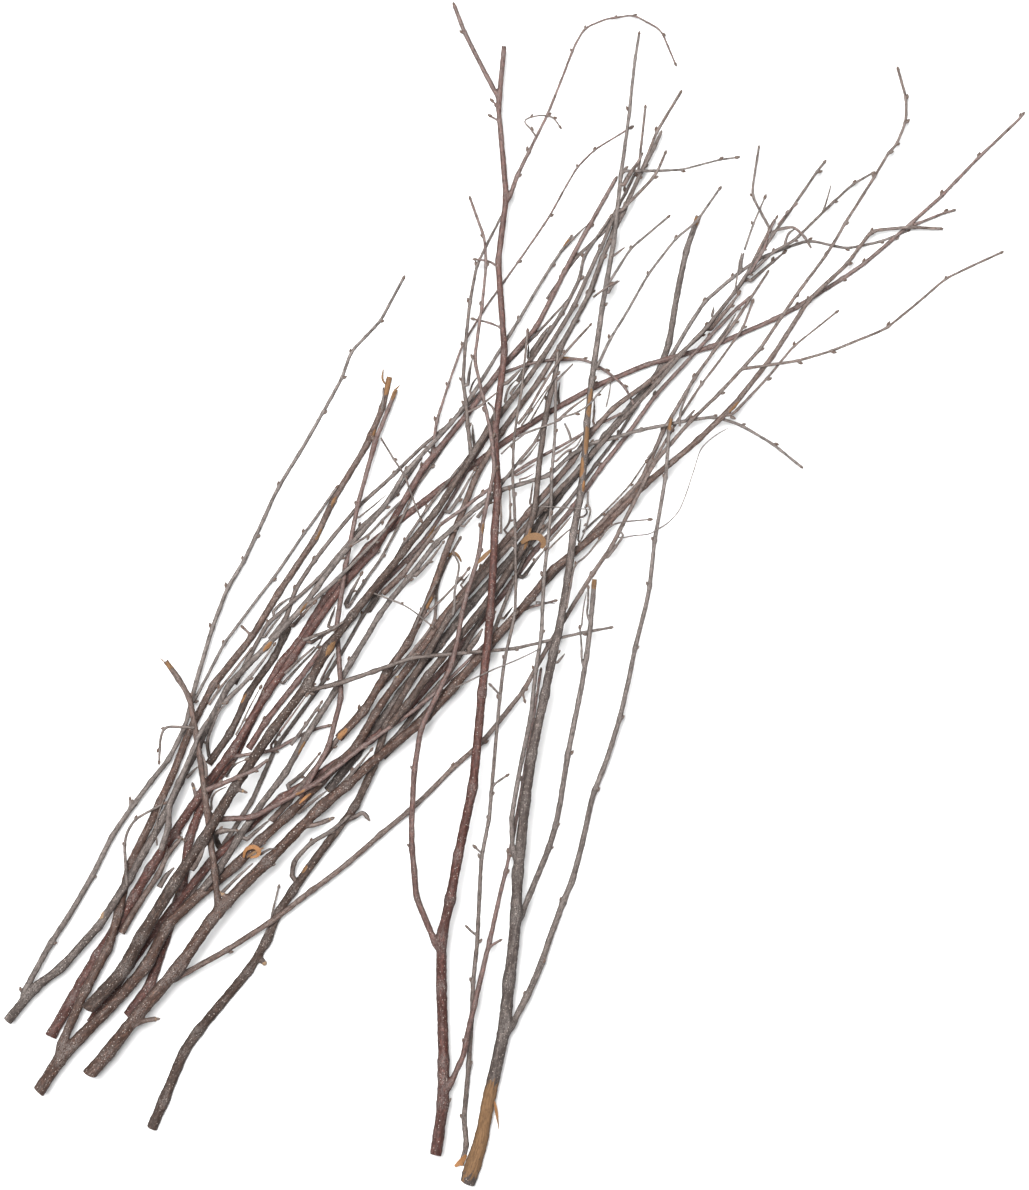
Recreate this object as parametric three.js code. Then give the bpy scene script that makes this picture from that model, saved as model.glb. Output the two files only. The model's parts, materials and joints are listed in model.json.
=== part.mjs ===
// A loose bundle of cut birch twigs lying on a flat surface, butts towards -Y and tips towards +Y.
//
// Every twig is a tapering stem with its main branches. The stem and each branch are solids of their own,
// parted at the forks. The list TWIGS gives each one's course seen from above, from the butt to the tip, and
// its radius at both ends. The twigs are laid down in the order of the list: each rests on the surface or on
// those below it, sags a little between what carries it, and never cuts into another.
//
// Units are millimetres, +Z is up, and the origin is the bottom centre of the whole bundle.

import * as THREE from "three";

// --- Driving dimensions ---------------------------------------------------------------------------------

const STEM_SIDES = 6; // sides of a stem's section
const BRANCH_SIDES = 5; // sides of a branch's section
const STATION_STEP = 36; // most distance between two sections of a stem or branch
const LEAST_STEP = 12; // least distance between two sections
const CLEARANCE = 0.6; // least air between two twigs, and between a branch and the stem it grew from
const SAG_RADIUS = 1300; // radius that a twig's sag follows between what carries it
const PASSES = 8; // times that a twig is laid down, as its branches may also cross one another
const CHECK_STEP = 1; // distance between the places where a twig looks for others under it
const FORK_STEP = 0.5; // distance between the places where a branch looks whether it is clear of its stem
const TAPER_POWER = 0.85; // 1 tapers evenly, less keeps the stem thick for longer

// --- Bark colours ---------------------------------------------------------------------------------------

const BARK = {
  red: new THREE.MeshStandardMaterial({ color: 0x6b4540, roughness: 0.62, metalness: 0 }),
  brown: new THREE.MeshStandardMaterial({ color: 0x5e4740, roughness: 0.7, metalness: 0 }),
  grey: new THREE.MeshStandardMaterial({ color: 0x7a6b64, roughness: 0.78, metalness: 0 }),
  dark: new THREE.MeshStandardMaterial({ color: 0x443a36, roughness: 0.74, metalness: 0 }),
};

// --- The twigs, lowest in the pile first -----------------------------------------------------------------
// path: points seen from above. radius: [butt, tip]. A branch starts on the line of the stem, or of the
// branch, that it grew from, which "on" names where it isn't the stem.

const TWIGS = [
  {
    name: "twig_01", bark: "grey", radius: [2.7, 1.7],
    path: [[-112, -118], [-84, -82], [-55, -42], [-24, -4], [8, 34], [40, 76], [72, 116], [88, 134],
      [93, 152], [98, 180], [104, 207], [111, 228]],
    branches: [
      { name: "branch_a", radius: [1.3, 0.8],
        path: [[90, 138], [98, 148], [105, 161], [115, 176], [131, 191], [148, 202], [163, 209], [178, 213],
          [200, 209], [220, 212], [237, 219]] },
    ],
  },
  {
    name: "twig_02", bark: "red", radius: [3.2, 0.9],
    path: [[-233, -254], [-220, -236], [-208, -203], [-200, -176], [-195, -147], [-186, -120], [-168, -98],
      [-158, -76], [-148, -54], [-140, -41], [-131, -30], [-118, -10], [-102, 12], [-88, 28], [-74, 41],
      [-58, 53], [-33, 72], [-8, 90], [20, 109], [49, 126], [80, 138], [118, 149], [156, 165], [198, 190],
      [229, 214], [256, 239], [280, 263], [306, 289]],
    branches: [
      { name: "branch_a", radius: [1, 0.8],
        path: [[236, 219], [249, 227], [264, 231]] },
    ],
  },
  {
    name: "twig_03", bark: "dark", radius: [1.7, 0.8],
    path: [[-207, -196], [-180, -160], [-158, -124], [-143, -92], [-122, -62], [-102, -32], [-84, -2],
      [-66, 32], [-44, 62], [-24, 88], [-10, 112]],
    branches: [],
  },
  {
    name: "twig_04", bark: "dark", radius: [1.5, 0.8],
    path: [[-147, -27], [-138, -15], [-135, -6], [-131, 3], [-128, 11], [-121, 20], [-108, 36], [-94, 52],
      [-66, 79], [-38, 104], [-12, 130], [8, 152], [33, 178]],
    branches: [],
  },
  {
    name: "twig_05", bark: "red", radius: [3, 1],
    path: [[-254, -257], [-238, -233], [-218, -205], [-199, -181], [-182, -161], [-160, -139], [-140, -123],
      [-112, -104], [-86, -88], [-65, -70], [-40, -42], [-15, -10], [8, 20], [30, 46], [57, 82], [85, 119],
      [117, 155], [141, 178]],
    branches: [],
  },
  {
    name: "twig_06", bark: "brown", radius: [1.9, 0.8],
    path: [[-146, -136], [-116, -101], [-92, -69], [-70, -45], [-58, -32], [-48, -17], [-44, -7], [-46, 5],
      [-43, 15], [-39, 23], [-33, 33]],
    branches: [],
  },
  {
    name: "twig_07", bark: "brown", radius: [2.2, 0.9],
    path: [[-79, -98], [-42, -60], [-8, -24], [22, 10], [52, 42], [76, 68], [90, 98], [108, 130], [133, 163],
      [152, 193]],
    branches: [
      { name: "branch_a", radius: [1, 0.8],
        path: [[82, 80], [93, 92], [101, 108], [112, 126], [124, 141], [138, 160], [143, 175]] },
    ],
  },
  {
    name: "twig_08", bark: "brown", radius: [2.6, 0.9],
    path: [[-105, -86], [-98, -78], [-90, -69], [-83, -58], [-74, -44], [-64, -29], [-59, -19], [-50, -2],
      [-46, 8], [-42, 22], [-36, 38], [-30, 53], [-23, 70], [-8, 98], [16, 129], [27, 149], [37, 164],
      [46, 183], [54, 205], [62, 224], [73, 247], [86, 278], [100, 302]],
    branches: [
      { name: "branch_a", radius: [1, 0.8],
        path: [[70, 240], [75, 256], [77, 275], [79, 293]] },
    ],
  },
  {
    name: "twig_22", bark: "dark", radius: [2.3, 1.9],
    path: [[-184, -102], [-172, -84], [-166, -73], [-160, -60], [-152, -48], [-145, -38], [-139, -27],
      [-136, -19]],
    branches: [],
  },
  {
    name: "twig_23", bark: "dark", radius: [1.4, 1],
    path: [[-168, -54], [-159, -36], [-156, -27], [-148, -18], [-139, -10], [-133, -2], [-118, 10],
      [-102, 28], [-92, 40], [-82, 50], [-72, 60], [-66, 69], [-57, 81]],
    branches: [],
  },
  {
    name: "twig_24", bark: "red", radius: [2, 1],
    path: [[-160, -93], [-150, -76], [-138, -62], [-130, -53], [-117, -34], [-109, -26], [-100, -17],
      [-91, -6], [-82, 4], [-65, 20], [-52, 36], [-42, 51], [-34, 64], [-26, 78], [-16, 96], [-5, 112]],
    branches: [],
  },
  {
    name: "twig_25", bark: "dark", radius: [1.8, 1],
    path: [[-88, -104], [-68, -82], [-50, -60], [-40, -48], [-33, -38], [-27, -27], [-21, -16], [-8, 6],
      [10, 30], [22, 44], [34, 58], [46, 73], [58, 90], [74, 114]],
    branches: [],
  },
  {
    name: "twig_26", bark: "red", radius: [1.2, 0.9],
    path: [[-44, 42], [-30, 52], [-20, 60], [-8, 68], [0, 73], [10, 79], [20, 85], [30, 90], [40, 95],
      [50, 102], [63, 108]],
    branches: [],
  },
  {
    name: "twig_27", bark: "dark", radius: [1, 0.8],
    path: [[-100, -8], [-96, 1], [-79, 22], [-70, 40], [-65, 51], [-60, 64], [-50, 76], [-36, 98]],
    branches: [],
  },
  {
    name: "twig_28", bark: "dark", radius: [1.1, 0.9],
    path: [[-22, 46], [-8, 66], [0, 76], [7, 84], [14, 92], [18, 104], [20, 116], [24, 132]],
    branches: [],
  },
  {
    name: "twig_29", bark: "dark", radius: [1.2, 0.9],
    path: [[20, 178], [28, 191], [38, 203], [46, 211], [55, 220], [62, 231], [67, 243], [73, 254]],
    branches: [],
  },
  {
    name: "twig_30", bark: "dark", radius: [1.5, 0.9],
    path: [[-46, -66], [-28, -46], [-14, -27], [-9, -14], [-5, -3], [-1, 8], [7, 24], [16, 40], [26, 62]],
    branches: [],
  },
  {
    name: "twig_31", bark: "dark", radius: [1.5, 0.9],
    path: [[2, 128], [9, 140], [14, 149], [21, 159], [29, 169], [35, 179], [39, 190], [42, 203], [47, 211],
      [58, 227]],
    branches: [],
  },
  {
    name: "twig_09", bark: "red", radius: [3.5, 1.2],
    path: [[-279, -266], [-261, -234], [-243, -206], [-226, -177], [-205, -144], [-184, -114], [-167, -90],
      [-151, -64], [-127, -28], [-102, 6], [-84, 27], [-68, 53], [-54, 76], [-28, 109], [-8, 135], [13, 161],
      [27, 187], [41, 215], [61, 250]],
    branches: [
      { name: "branch_a", radius: [1.2, 0.8],
        path: [[-50, 81], [-47, 98], [-46, 104], [-40, 126], [-31, 149], [-19, 171], [-6, 188], [3, 200],
          [17, 222], [30, 244], [38, 257], [48, 268], [70, 281]] },
      { name: "branch_b", radius: [1.2, 0.8],
        path: [[-16, 124], [-7, 133], [8, 138], [26, 142], [42, 141], [55, 135], [66, 125], [72, 114]] },
      { name: "branch_c", radius: [1.3, 1],
        path: [[-172, -97], [-158, -97], [-144, -94], [-133, -87], [-122, -81], [-112, -79]] },
    ],
  },
  {
    name: "twig_10", bark: "brown", radius: [3.9, 1],
    path: [[-285, -298], [-272, -277], [-258, -263], [-238, -243], [-220, -223], [-208, -198], [-189, -181],
      [-169, -164], [-150, -146], [-118, -115], [-95, -91], [-77, -62], [-57, -34], [-33, -2], [-8, 29],
      [20, 62], [34, 79], [45, 95], [52, 104], [59, 112], [68, 119],
      [82, 128], [112, 156], [138, 188], [156, 224]],
    branches: [
      { name: "branch_a", radius: [2.9, 1.7],
        path: [[-279, -288], [-271, -269], [-259, -242], [-244, -212], [-237, -192], [-231, -162],
          [-216, -133], [-205, -108], [-196, -83], [-181, -55], [-158, -25], [-140, 3], [-120, 34],
          [-106, 61], [-89, 90], [-79, 112], [-75, 131]] },
    ],
  },
  {
    name: "twig_11", bark: "grey", radius: [2.3, 0.9],
    path: [[-186, -176], [-169, -153], [-151, -125], [-137, -106], [-123, -83], [-109, -60], [-97, -40],
      [-88, -25], [-81, -12], [-73, -2], [-63, 9], [-55, 20], [-47, 31], [-37, 38], [-22, 53], [-8, 62],
      [2, 66], [21, 72], [34, 83], [46, 91], [60, 93], [75, 99], [104, 104], [120, 106], [136, 102],
      [155, 90], [172, 77]],
    branches: [],
  },
  {
    name: "twig_12", bark: "red", radius: [1.7, 1.3],
    path: [[-128, -121], [-112, -92], [-103, -62], [-105, -38], [-107, -20], [-101, 14], [-94, 54], [-83, 92],
      [-71, 123]],
    branches: [],
  },
  {
    name: "twig_13", bark: "dark", radius: [3.3, 0.9],
    path: [[-218, -321], [-210, -301], [-204, -288], [-198, -275], [-191, -263], [-178, -248], [-159, -226],
      [-149, -208], [-142, -192], [-133, -177], [-125, -166], [-104, -139], [-95, -128], [-84, -102],
      [-76, -78], [-60, -48], [-38, -12], [-8, 24],
      [34, 70], [70, 110], [104, 148], [133, 181], [158, 220], [186, 259]],
    branches: [
      { name: "branch_a", radius: [1.1, 0.8],
        path: [[143, 194], [156, 205], [168, 213], [183, 227], [193, 236], [203, 247], [215, 253]] },
      { name: "branch_b", radius: [1, 0.8],
        path: [[156, 217], [149, 223], [143, 240], [145, 255], [147, 268]] },
    ],
  },
  {
    name: "twig_14", bark: "grey", radius: [2.9, 0.9],
    path: [[-304, -256], [-288, -236], [-271, -224], [-248, -197], [-230, -170], [-211, -135], [-197, -106],
      [-182, -75], [-170, -54], [-160, -43], [-142, -24], [-126, -8], [-118, 5], [-102, 24], [-93, 35],
      [-78, 53], [-64, 74], [-41, 99], [-25, 119], [-5, 153], [12, 181], [34, 215]],
    branches: [
      { name: "branch_a", radius: [1.9, 0.9],
        path: [[-296, -246], [-288, -226], [-268, -194], [-248, -158], [-239, -142], [-230, -127],
          [-218, -113], [-208, -99], [-197, -80], [-190, -49], [-182, -20], [-172, 3], [-155, 35],
          [-143, 64], [-127, 89], [-115, 109], [-104, 131], [-98, 146], [-81, 165], [-67, 190]] },
      { name: "branch_b", on: "branch_a", radius: [1.1, 0.9],
        path: [[-203, -87], [-194, -68], [-186, -52], [-174, -30], [-153, 0], [-138, 20], [-121, 43],
          [-107, 64]] },
      { name: "branch_c", radius: [1.4, 0.9],
        path: [[-126, -8], [-118, -2], [-106, 8], [-96, 19], [-84, 32], [-72, 45]] },
    ],
  },
  {
    name: "twig_15", bark: "red", radius: [1.9, 0.8],
    path: [[-186, -118], [-181, -134], [-171, -140], [-156, -134], [-118, -112], [-80, -84], [-45, -58],
      [-14, -26], [6, -8], [24, -4]],
    branches: [],
  },
  {
    name: "twig_16", bark: "dark", radius: [2.4, 1.1],
    path: [[-74, -78], [-52, -50], [-30, -22], [-10, 4], [6, 28], [12, 52], [15, 80], [20, 112], [28, 147],
      [43, 177], [62, 222], [88, 277]],
    branches: [],
  },
  {
    name: "twig_17", bark: "brown", radius: [4.2, 1],
    path: [[-254, -287], [-236, -265], [-219, -245], [-200, -222], [-180, -194], [-164, -176], [-143, -155],
      [-114, -126], [-85, -100], [-53, -75], [-30, -48], [-4, -18], [23, 14], [50, 37], [79, 66], [105, 88],
      [131, 112], [155, 143], [177, 176], [200, 199], [215, 218], [238, 221], [256, 220]],
    branches: [
      { name: "branch_a", radius: [2.2, 1.6],
        path: [[-179, -193], [-177, -180], [-178, -165], [-182, -141], [-186, -107], [-189, -84],
          [-194, -62], [-200, -50], [-208, -40]] },
      { name: "branch_b", radius: [1, 0.8],
        path: [[124, 105], [136, 113], [152, 129], [167, 149], [193, 169]] },
      { name: "branch_c", radius: [1.9, 0.9],
        path: [[-229, -259], [-224, -247], [-215, -237], [-201, -229], [-172, -214], [-140, -192],
          [-112, -171], [-84, -148], [-52, -120], [-19, -88], [6, -58], [20, -31], [37, -4], [58, 29],
          [69, 50], [84, 78], [105, 104], [123, 120], [147, 147], [168, 177], [193, 213], [216, 251],
          [229, 270], [236, 284], [235, 298], [231, 315]] },
      { name: "branch_d", on: "branch_c", radius: [1, 0.8],
        path: [[136, 134], [152, 139], [170, 140], [190, 145], [222, 159], [241, 174], [259, 189],
          [275, 197], [292, 205]] },
    ],
  },
  {
    name: "twig_18", bark: "dark", radius: [4.1, 1.1],
    path: [[-254, -247], [-234, -225], [-218, -198], [-203, -172], [-185, -147], [-167, -115], [-145, -83],
      [-123, -53], [-109, -30], [-97, -12], [-72, 18], [-47, 50], [-29, 77], [-15, 99], [8, 129], [20, 147],
      [29, 161], [36, 172], [42, 186], [49, 202], [55, 215], [61, 230]],
    branches: [
      { name: "branch_a", radius: [1.6, 0.9],
        path: [[-128, -60], [-118, -56], [-106, -54], [-83, -45], [-60, -38], [-31, -35], [0, -32],
          [28, -26], [57, -20]] },
      { name: "branch_b", radius: [1.4, 0.9],
        path: [[-29, 77], [-26, 90], [-27, 101], [-29, 113], [-30, 128], [-29, 150], [-27, 175], [-22, 197],
          [-15, 212], [-8, 226]] },
    ],
  },
  {
    name: "twig_19", bark: "dark", radius: [1.6, 0.8],
    path: [[-32, -344], [-29, -332], [-30, -316], [-28, -284], [-25, -250], [-22, -200], [-19, -158],
      [-13, -120], [-11, -90], [-9, -62], [-6, -44], [-3, -28], [0, -12], [1, 8], [1, 35], [-1, 68], [1, 100],
      [5, 130], [8, 157]],
    branches: [],
  },
  {
    name: "twig_20", bark: "red", radius: [3.6, 1.5],
    path: [[-47, -336], [-43, -305], [-42, -280], [-44, -235], [-43, -205], [-34, -160], [-25, -115],
      [-21, -80], [-16, -30], [-12, 20], [-10, 60], [-11, 95], [-6, 145], [-9, 200], [-5, 238], [-9, 292],
      [-6, 329]],
    branches: [
      { name: "branch_a", radius: [2, 0.9],
        path: [[-44, -213], [-51, -201], [-58, -181], [-60, -165], [-61, -138], [-60, -105], [-55, -80],
          [-46, -60], [-38, -42], [-34, -28], [-31, -14], [-28, 0], [-24, 14], [-21, 26], [-17, 50],
          [-12, 74], [-13, 94], [-17, 108], [-23, 140], [-20, 170], [-16, 196], [-18, 212], [-26, 236]] },
      { name: "branch_b", radius: [1.9, 0.9],
        path: [[-43, -298], [-33, -285], [-29, -274], [-27, -260], [-23, -242], [-14, -207], [-8, -176],
          [0, -142], [6, -112], [10, -82], [16, -46]] },
      { name: "branch_c", radius: [1.5, 0.9],
        path: [[-5, 232], [0, 245], [8, 265], [20, 287], [29, 311], [35, 328], [43, 340], [57, 347],
          [72, 348], [83, 346], [89, 340], [97, 320]] },
      { name: "branch_d", radius: [1.5, 1.2],
        path: [[-8, 290], [-12, 303], [-20, 318], [-30, 338], [-36, 354]] },
    ],
  },
  {
    name: "twig_21", bark: "grey", radius: [4.3, 0.9],
    path: [[-28, -354], [-20, -328], [-12, -290], [-6, -260], [-1, -215], [2, -175], [6, -125], [12, -90],
      [19, -55], [27, -20], [33, 18], [39, 58], [43, 90], [46, 128], [53, 170], [60, 215], [66, 265],
      [70, 300], [75, 336]],
    branches: [
      { name: "branch_a", radius: [2.1, 1.1],
        path: [[-6, -262], [3, -252], [9, -240], [15, -225], [21, -208], [27, -193], [35, -172], [41, -150],
          [47, -123], [56, -98], [64, -70], [69, -50], [79, -5], [86, 40], [91, 75], [94, 105]] },
      { name: "branch_b", radius: [1.9, 1.5],
        path: [[1, -197], [6, -187], [13, -175], [21, -152], [27, -126], [33, -94], [40, -55], [45, -20],
          [48, 9]] },
      { name: "branch_c", radius: [1.6, 0.9],
        path: [[3, -160], [-1, -148], [-1, -134], [3, -107], [9, -75], [13, -50], [16, -25], [18, 8],
          [21, 45], [24, 90], [26, 145]] },
      { name: "branch_d", radius: [1, 0.8],
        path: [[46, 127], [51, 139], [58, 153], [67, 168], [80, 192], [84, 200], [97, 213], [109, 224],
          [123, 243]] },
      { name: "branch_e", radius: [0.9, 0.8],
        path: [[55, 178], [59, 190], [70, 207], [76, 214], [92, 226]] },
      { name: "branch_f", radius: [1, 0.8],
        path: [[65, 253], [72, 255], [84, 253], [100, 255], [133, 262]] },
    ],
  },
];

// --- Laying a stem or branch out, seen from above ---------------------------------------------------------

const flat = (point) => new THREE.Vector3(point[0], point[1], 0);

// The place on a line of stations that lies nearest to a point seen from above: the index of the station
// before it, how far it is towards the next, and its distance.
function nearestOn(stations, x, y) {
  let best = { distance: Infinity };
  for (let i = 0; i + 1 < stations.length; i++) {
    const a = stations[i];
    const b = stations[i + 1];
    const dx = b.x - a.x;
    const dy = b.y - a.y;
    const along = THREE.MathUtils.clamp(((x - a.x) * dx + (y - a.y) * dy) / (dx * dx + dy * dy), 0, 1);
    const distance = Math.hypot(a.x + along * dx - x, a.y + along * dy - y);
    if (distance < best.distance) best = { index: i, along, distance };
  }
  return best;
}

const between = (a, b, along, key) => a[key] + (b[key] - a[key]) * along;

// Places along a course: one at each of its corners, and others between corners that lie far apart.
function spread(corners, start) {
  const places = [start];
  for (const corner of corners) {
    const last = places.at(-1);
    const gap = corner - last;
    if (gap < LEAST_STEP && corner < corners.at(-1)) continue;
    const count = Math.ceil(gap / STATION_STEP);
    for (let i = 1; i <= count; i++) places.push(last + (gap * i) / count);
  }
  return places;
}

// Stations along a course from above: each has its place, its radius and how far it is from the start. A
// branch's first station is the first place on its course that is clear of what it grew from.
function layOut(name, path, radius, bark, parent) {
  const course = new THREE.CurvePath();
  const points = path.map(flat);
  for (let i = 1; i < points.length; i++) course.add(new THREE.LineCurve3(points[i - 1], points[i]));
  const length = course.getLength();
  const radiusAt = (s) => THREE.MathUtils.lerp(radius[0], radius[1], (s / length) ** TAPER_POWER);
  const pointAt = (s) => course.getPoint(Math.min(s / length, 1));
  let start = 0;
  if (parent) {
    const clear = (s) => {
      const point = pointAt(s);
      const near = nearestOn(parent.stations, point.x, point.y);
      const thick = parent.stations[near.index].radius;
      return near.distance > thick + radiusAt(s) + CLEARANCE;
    };
    while (!clear(start)) start += FORK_STEP;
  }
  const stations = spread(course.getCurveLengths(), start).map((s) => {
    const { x, y } = pointAt(s);
    return { x, y, z: 0, radius: radiusAt(s), s };
  });
  const fork = parent && nearestOn(parent.stations, path[0][0], path[0][1]);
  const forkAt = fork
    && between(parent.stations[fork.index], parent.stations[fork.index + 1], fork.along, "s");
  return { name, stations, bark, parent, forkAt };
}

// --- Laying the twigs on one another ----------------------------------------------------------------------

// Distance through the wood from a place s on one limb to a place t on another limb of the same twig.
function throughWood(limb, s, other, t) {
  if (limb === other) return Math.abs(s - t);
  const deeper = (l) => (l.parent ? 1 + deeper(l.parent) : 0);
  if (deeper(limb) >= deeper(other)) return s + throughWood(limb.parent, limb.forkAt, other, t);
  return t + throughWood(limb, s, other.parent, other.forkAt);
}

// Least height of the centre line at a place, so that it is clear of the surface and of the limbs below.
function leastHeight(x, y, radius, below) {
  let height = radius;
  for (const limb of below) {
    const near = nearestOn(limb.stations, x, y);
    const a = limb.stations[near.index];
    const b = limb.stations[near.index + 1];
    const reach = radius + between(a, b, near.along, "radius") + CLEARANCE;
    if (near.distance >= reach) continue;
    const lift = Math.sqrt(reach * reach - near.distance * near.distance);
    height = Math.max(height, between(a, b, near.along, "z") + lift);
  }
  return height;
}

// Every place of a limb that is looked at, with the least height there.
function supportsOf(limb, below) {
  const supports = [];
  for (let i = 0; i + 1 < limb.stations.length; i++) {
    const a = limb.stations[i];
    const b = limb.stations[i + 1];
    const steps = Math.ceil((b.s - a.s) / CHECK_STEP);
    for (let k = 0; k <= steps; k++) {
      const along = k / steps;
      const x = between(a, b, along, "x");
      const y = between(a, b, along, "y");
      const radius = between(a, b, along, "radius");
      const height = leastHeight(x, y, radius, below);
      supports.push({ limb, index: i, along, s: between(a, b, along, "s"), height });
    }
  }
  return supports;
}

// Sets the height of every station of one twig: it hangs from its supports in shallow curves.
function layDown(limbs, below) {
  for (let pass = 0; pass < PASSES; pass++) {
    const supports = limbs.flatMap((limb, i) => supportsOf(limb, [...below, ...limbs.slice(0, i)]));
    for (const limb of limbs)
      for (const station of limb.stations)
        for (const support of supports) {
          const apart = throughWood(limb, station.s, support.limb, support.s);
          station.z = Math.max(station.z, support.height - (apart * apart) / (2 * SAG_RADIUS));
        }
    for (const { limb, index, along, height } of supports) {
      const a = limb.stations[index];
      const b = limb.stations[index + 1];
      const short = Math.max(height - between(a, b, along, "z"), 0);
      a.z += short;
      b.z += short;
    }
  }
}

// --- Solids ----------------------------------------------------------------------------------------------

// A closed tapering tube through the stations: a cylinder with one ring of corners for each station, bent
// along their line. Its corners are measured from the first station.
function limbGeometry(stations, sides) {
  const rings = stations.length - 1;
  const geometry = new THREE.CylinderGeometry(1, 1, rings, sides, rings);
  const points = stations.map(({ x, y, z }) => new THREE.Vector3(x, y, z));
  const frames = points.map((point, i) => {
    const before = points[Math.max(i - 1, 0)];
    const after = points[Math.min(i + 1, rings)];
    const ahead = after.clone().sub(before).normalize();
    const across = ahead.clone().cross(new THREE.Vector3(0, 0, 1)).normalize();
    return { point, across, up: across.clone().cross(ahead) };
  });
  const position = geometry.attributes.position;
  for (let i = 0; i < position.count; i++) {
    const ring = Math.round(position.getY(i) + rings / 2);
    const { point, across, up } = frames[ring];
    const corner = point
      .clone()
      .sub(points[0])
      .addScaledVector(across, position.getX(i) * stations[ring].radius)
      .addScaledVector(up, position.getZ(i) * stations[ring].radius);
    position.setXYZ(i, corner.x, corner.y, corner.z);
  }
  geometry.computeVertexNormals();
  return geometry;
}

function limbMesh(limb) {
  const { stations, parent, bark, name } = limb;
  const mesh = new THREE.Mesh(limbGeometry(stations, parent ? BRANCH_SIDES : STEM_SIDES), BARK[bark]);
  mesh.name = name;
  mesh.position.set(stations[0].x, stations[0].y, stations[0].z);
  return mesh;
}

// --- The bundle --------------------------------------------------------------------------------------------

const pile = new THREE.Group();
const laid = [];
for (const twig of TWIGS) {
  const stem = layOut(`${twig.name}_stem`, twig.path, twig.radius, twig.bark, null);
  const limbs = [stem];
  for (const branch of twig.branches) {
    const parent = limbs.find((limb) => limb.name === `${twig.name}_${branch.on}`) ?? stem;
    limbs.push(layOut(`${twig.name}_${branch.name}`, branch.path, branch.radius, twig.bark, parent));
  }
  layDown(limbs, laid);
  laid.push(...limbs);
  const group = new THREE.Group();
  group.add(...limbs.map(limbMesh));
  pile.add(group);
}

const box = new THREE.Box3().setFromObject(pile, true);
const centre = box.getCenter(new THREE.Vector3());
pile.position.set(-centre.x, -centre.y, -box.min.z);

const bundle = new THREE.Group();
bundle.add(pile);

export default bundle;
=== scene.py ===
"""Loose bundle of cut twigs: forks, bark, buds, torn wood and a pale floor on the solid frame."""

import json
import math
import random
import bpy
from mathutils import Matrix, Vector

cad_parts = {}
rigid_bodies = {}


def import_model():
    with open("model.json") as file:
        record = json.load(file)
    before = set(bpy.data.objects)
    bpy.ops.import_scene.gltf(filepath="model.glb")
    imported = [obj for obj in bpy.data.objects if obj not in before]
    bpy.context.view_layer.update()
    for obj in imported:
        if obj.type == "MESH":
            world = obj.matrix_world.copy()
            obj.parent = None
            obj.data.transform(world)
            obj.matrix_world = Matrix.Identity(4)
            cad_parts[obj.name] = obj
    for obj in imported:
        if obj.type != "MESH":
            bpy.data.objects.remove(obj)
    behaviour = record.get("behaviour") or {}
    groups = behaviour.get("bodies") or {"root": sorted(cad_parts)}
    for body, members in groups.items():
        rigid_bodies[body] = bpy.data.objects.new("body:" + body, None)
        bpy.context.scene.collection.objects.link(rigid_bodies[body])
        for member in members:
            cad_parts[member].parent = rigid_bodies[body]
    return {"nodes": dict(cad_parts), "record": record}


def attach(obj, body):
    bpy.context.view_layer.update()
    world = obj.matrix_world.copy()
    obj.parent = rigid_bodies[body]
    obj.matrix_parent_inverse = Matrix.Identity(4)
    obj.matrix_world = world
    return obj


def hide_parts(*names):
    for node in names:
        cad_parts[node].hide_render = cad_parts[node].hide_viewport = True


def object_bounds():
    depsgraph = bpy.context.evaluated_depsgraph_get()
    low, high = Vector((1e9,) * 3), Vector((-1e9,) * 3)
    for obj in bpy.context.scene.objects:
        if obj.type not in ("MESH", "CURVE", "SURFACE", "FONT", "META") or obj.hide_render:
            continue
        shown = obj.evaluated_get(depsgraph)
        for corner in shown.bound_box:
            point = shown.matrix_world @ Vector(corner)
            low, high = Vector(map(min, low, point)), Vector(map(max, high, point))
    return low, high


bl_info = {
    "name": "Bundle of Twigs",
    "version": (1, 0, 0),
    "blender": (4, 5, 0),
    "location": "3D View > Sidebar > Twigs",
    "description": "Grows bark, forks, buds and fine shoots around the solid limbs of a bundle",
    "category": "Add Mesh",
}

from contextlib import contextmanager

import bmesh
import bpy
import numpy as np
from mathutils import Matrix, Vector
from mathutils.kdtree import KDTree

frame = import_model()
SOLID_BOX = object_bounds()

BODY = "root"
MM = 0.001
UP = np.array([0.0, 0.0, 1.0])
NEAREST = "nearest limb"

# --- What each grown twig shows, seen from above, in millimetres ---

# Buds and leaf scars whose place is known: limb, then where the bud's tip lies.
BUDS = {
    "twig_02_stem": [(170, 175), (209, 200), (256, 243), (277, 266), (302, 291)],
    "twig_14_branch_a": [(-254, -170), (-233, -123), (-164, 21), (-144, 67), (-112, 107)],
    "twig_17_branch_c": [(212, 253), (226, 266), (230, 271)],
    "twig_17_branch_d": [(222, 163), (257, 193)],
    "twig_19_stem": [(-28, -232), (-17, -133), (4, 60)],
    "twig_20_stem": [(-46, -180), (-8, -12), (-15, 60), (-2, 238)],
    "twig_20_branch_a": [(-64, -150), (-19, 40), (-20, 108), (-20, 214)],
    "twig_20_branch_b": [(-30, -268), (3, -112)],
    "twig_20_branch_c": [(6, 250), (33, 327), (60, 349), (90, 339)],
    "twig_21_stem": [(28, -36), (66, 290), (37, 36), (49, 128)],
    "twig_21_branch_a": [(5, -240), (25, -183), (49, -118), (65, -75), (84, 32)],
    "twig_21_branch_b": [(24, -138), (35, -95)],
}

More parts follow.
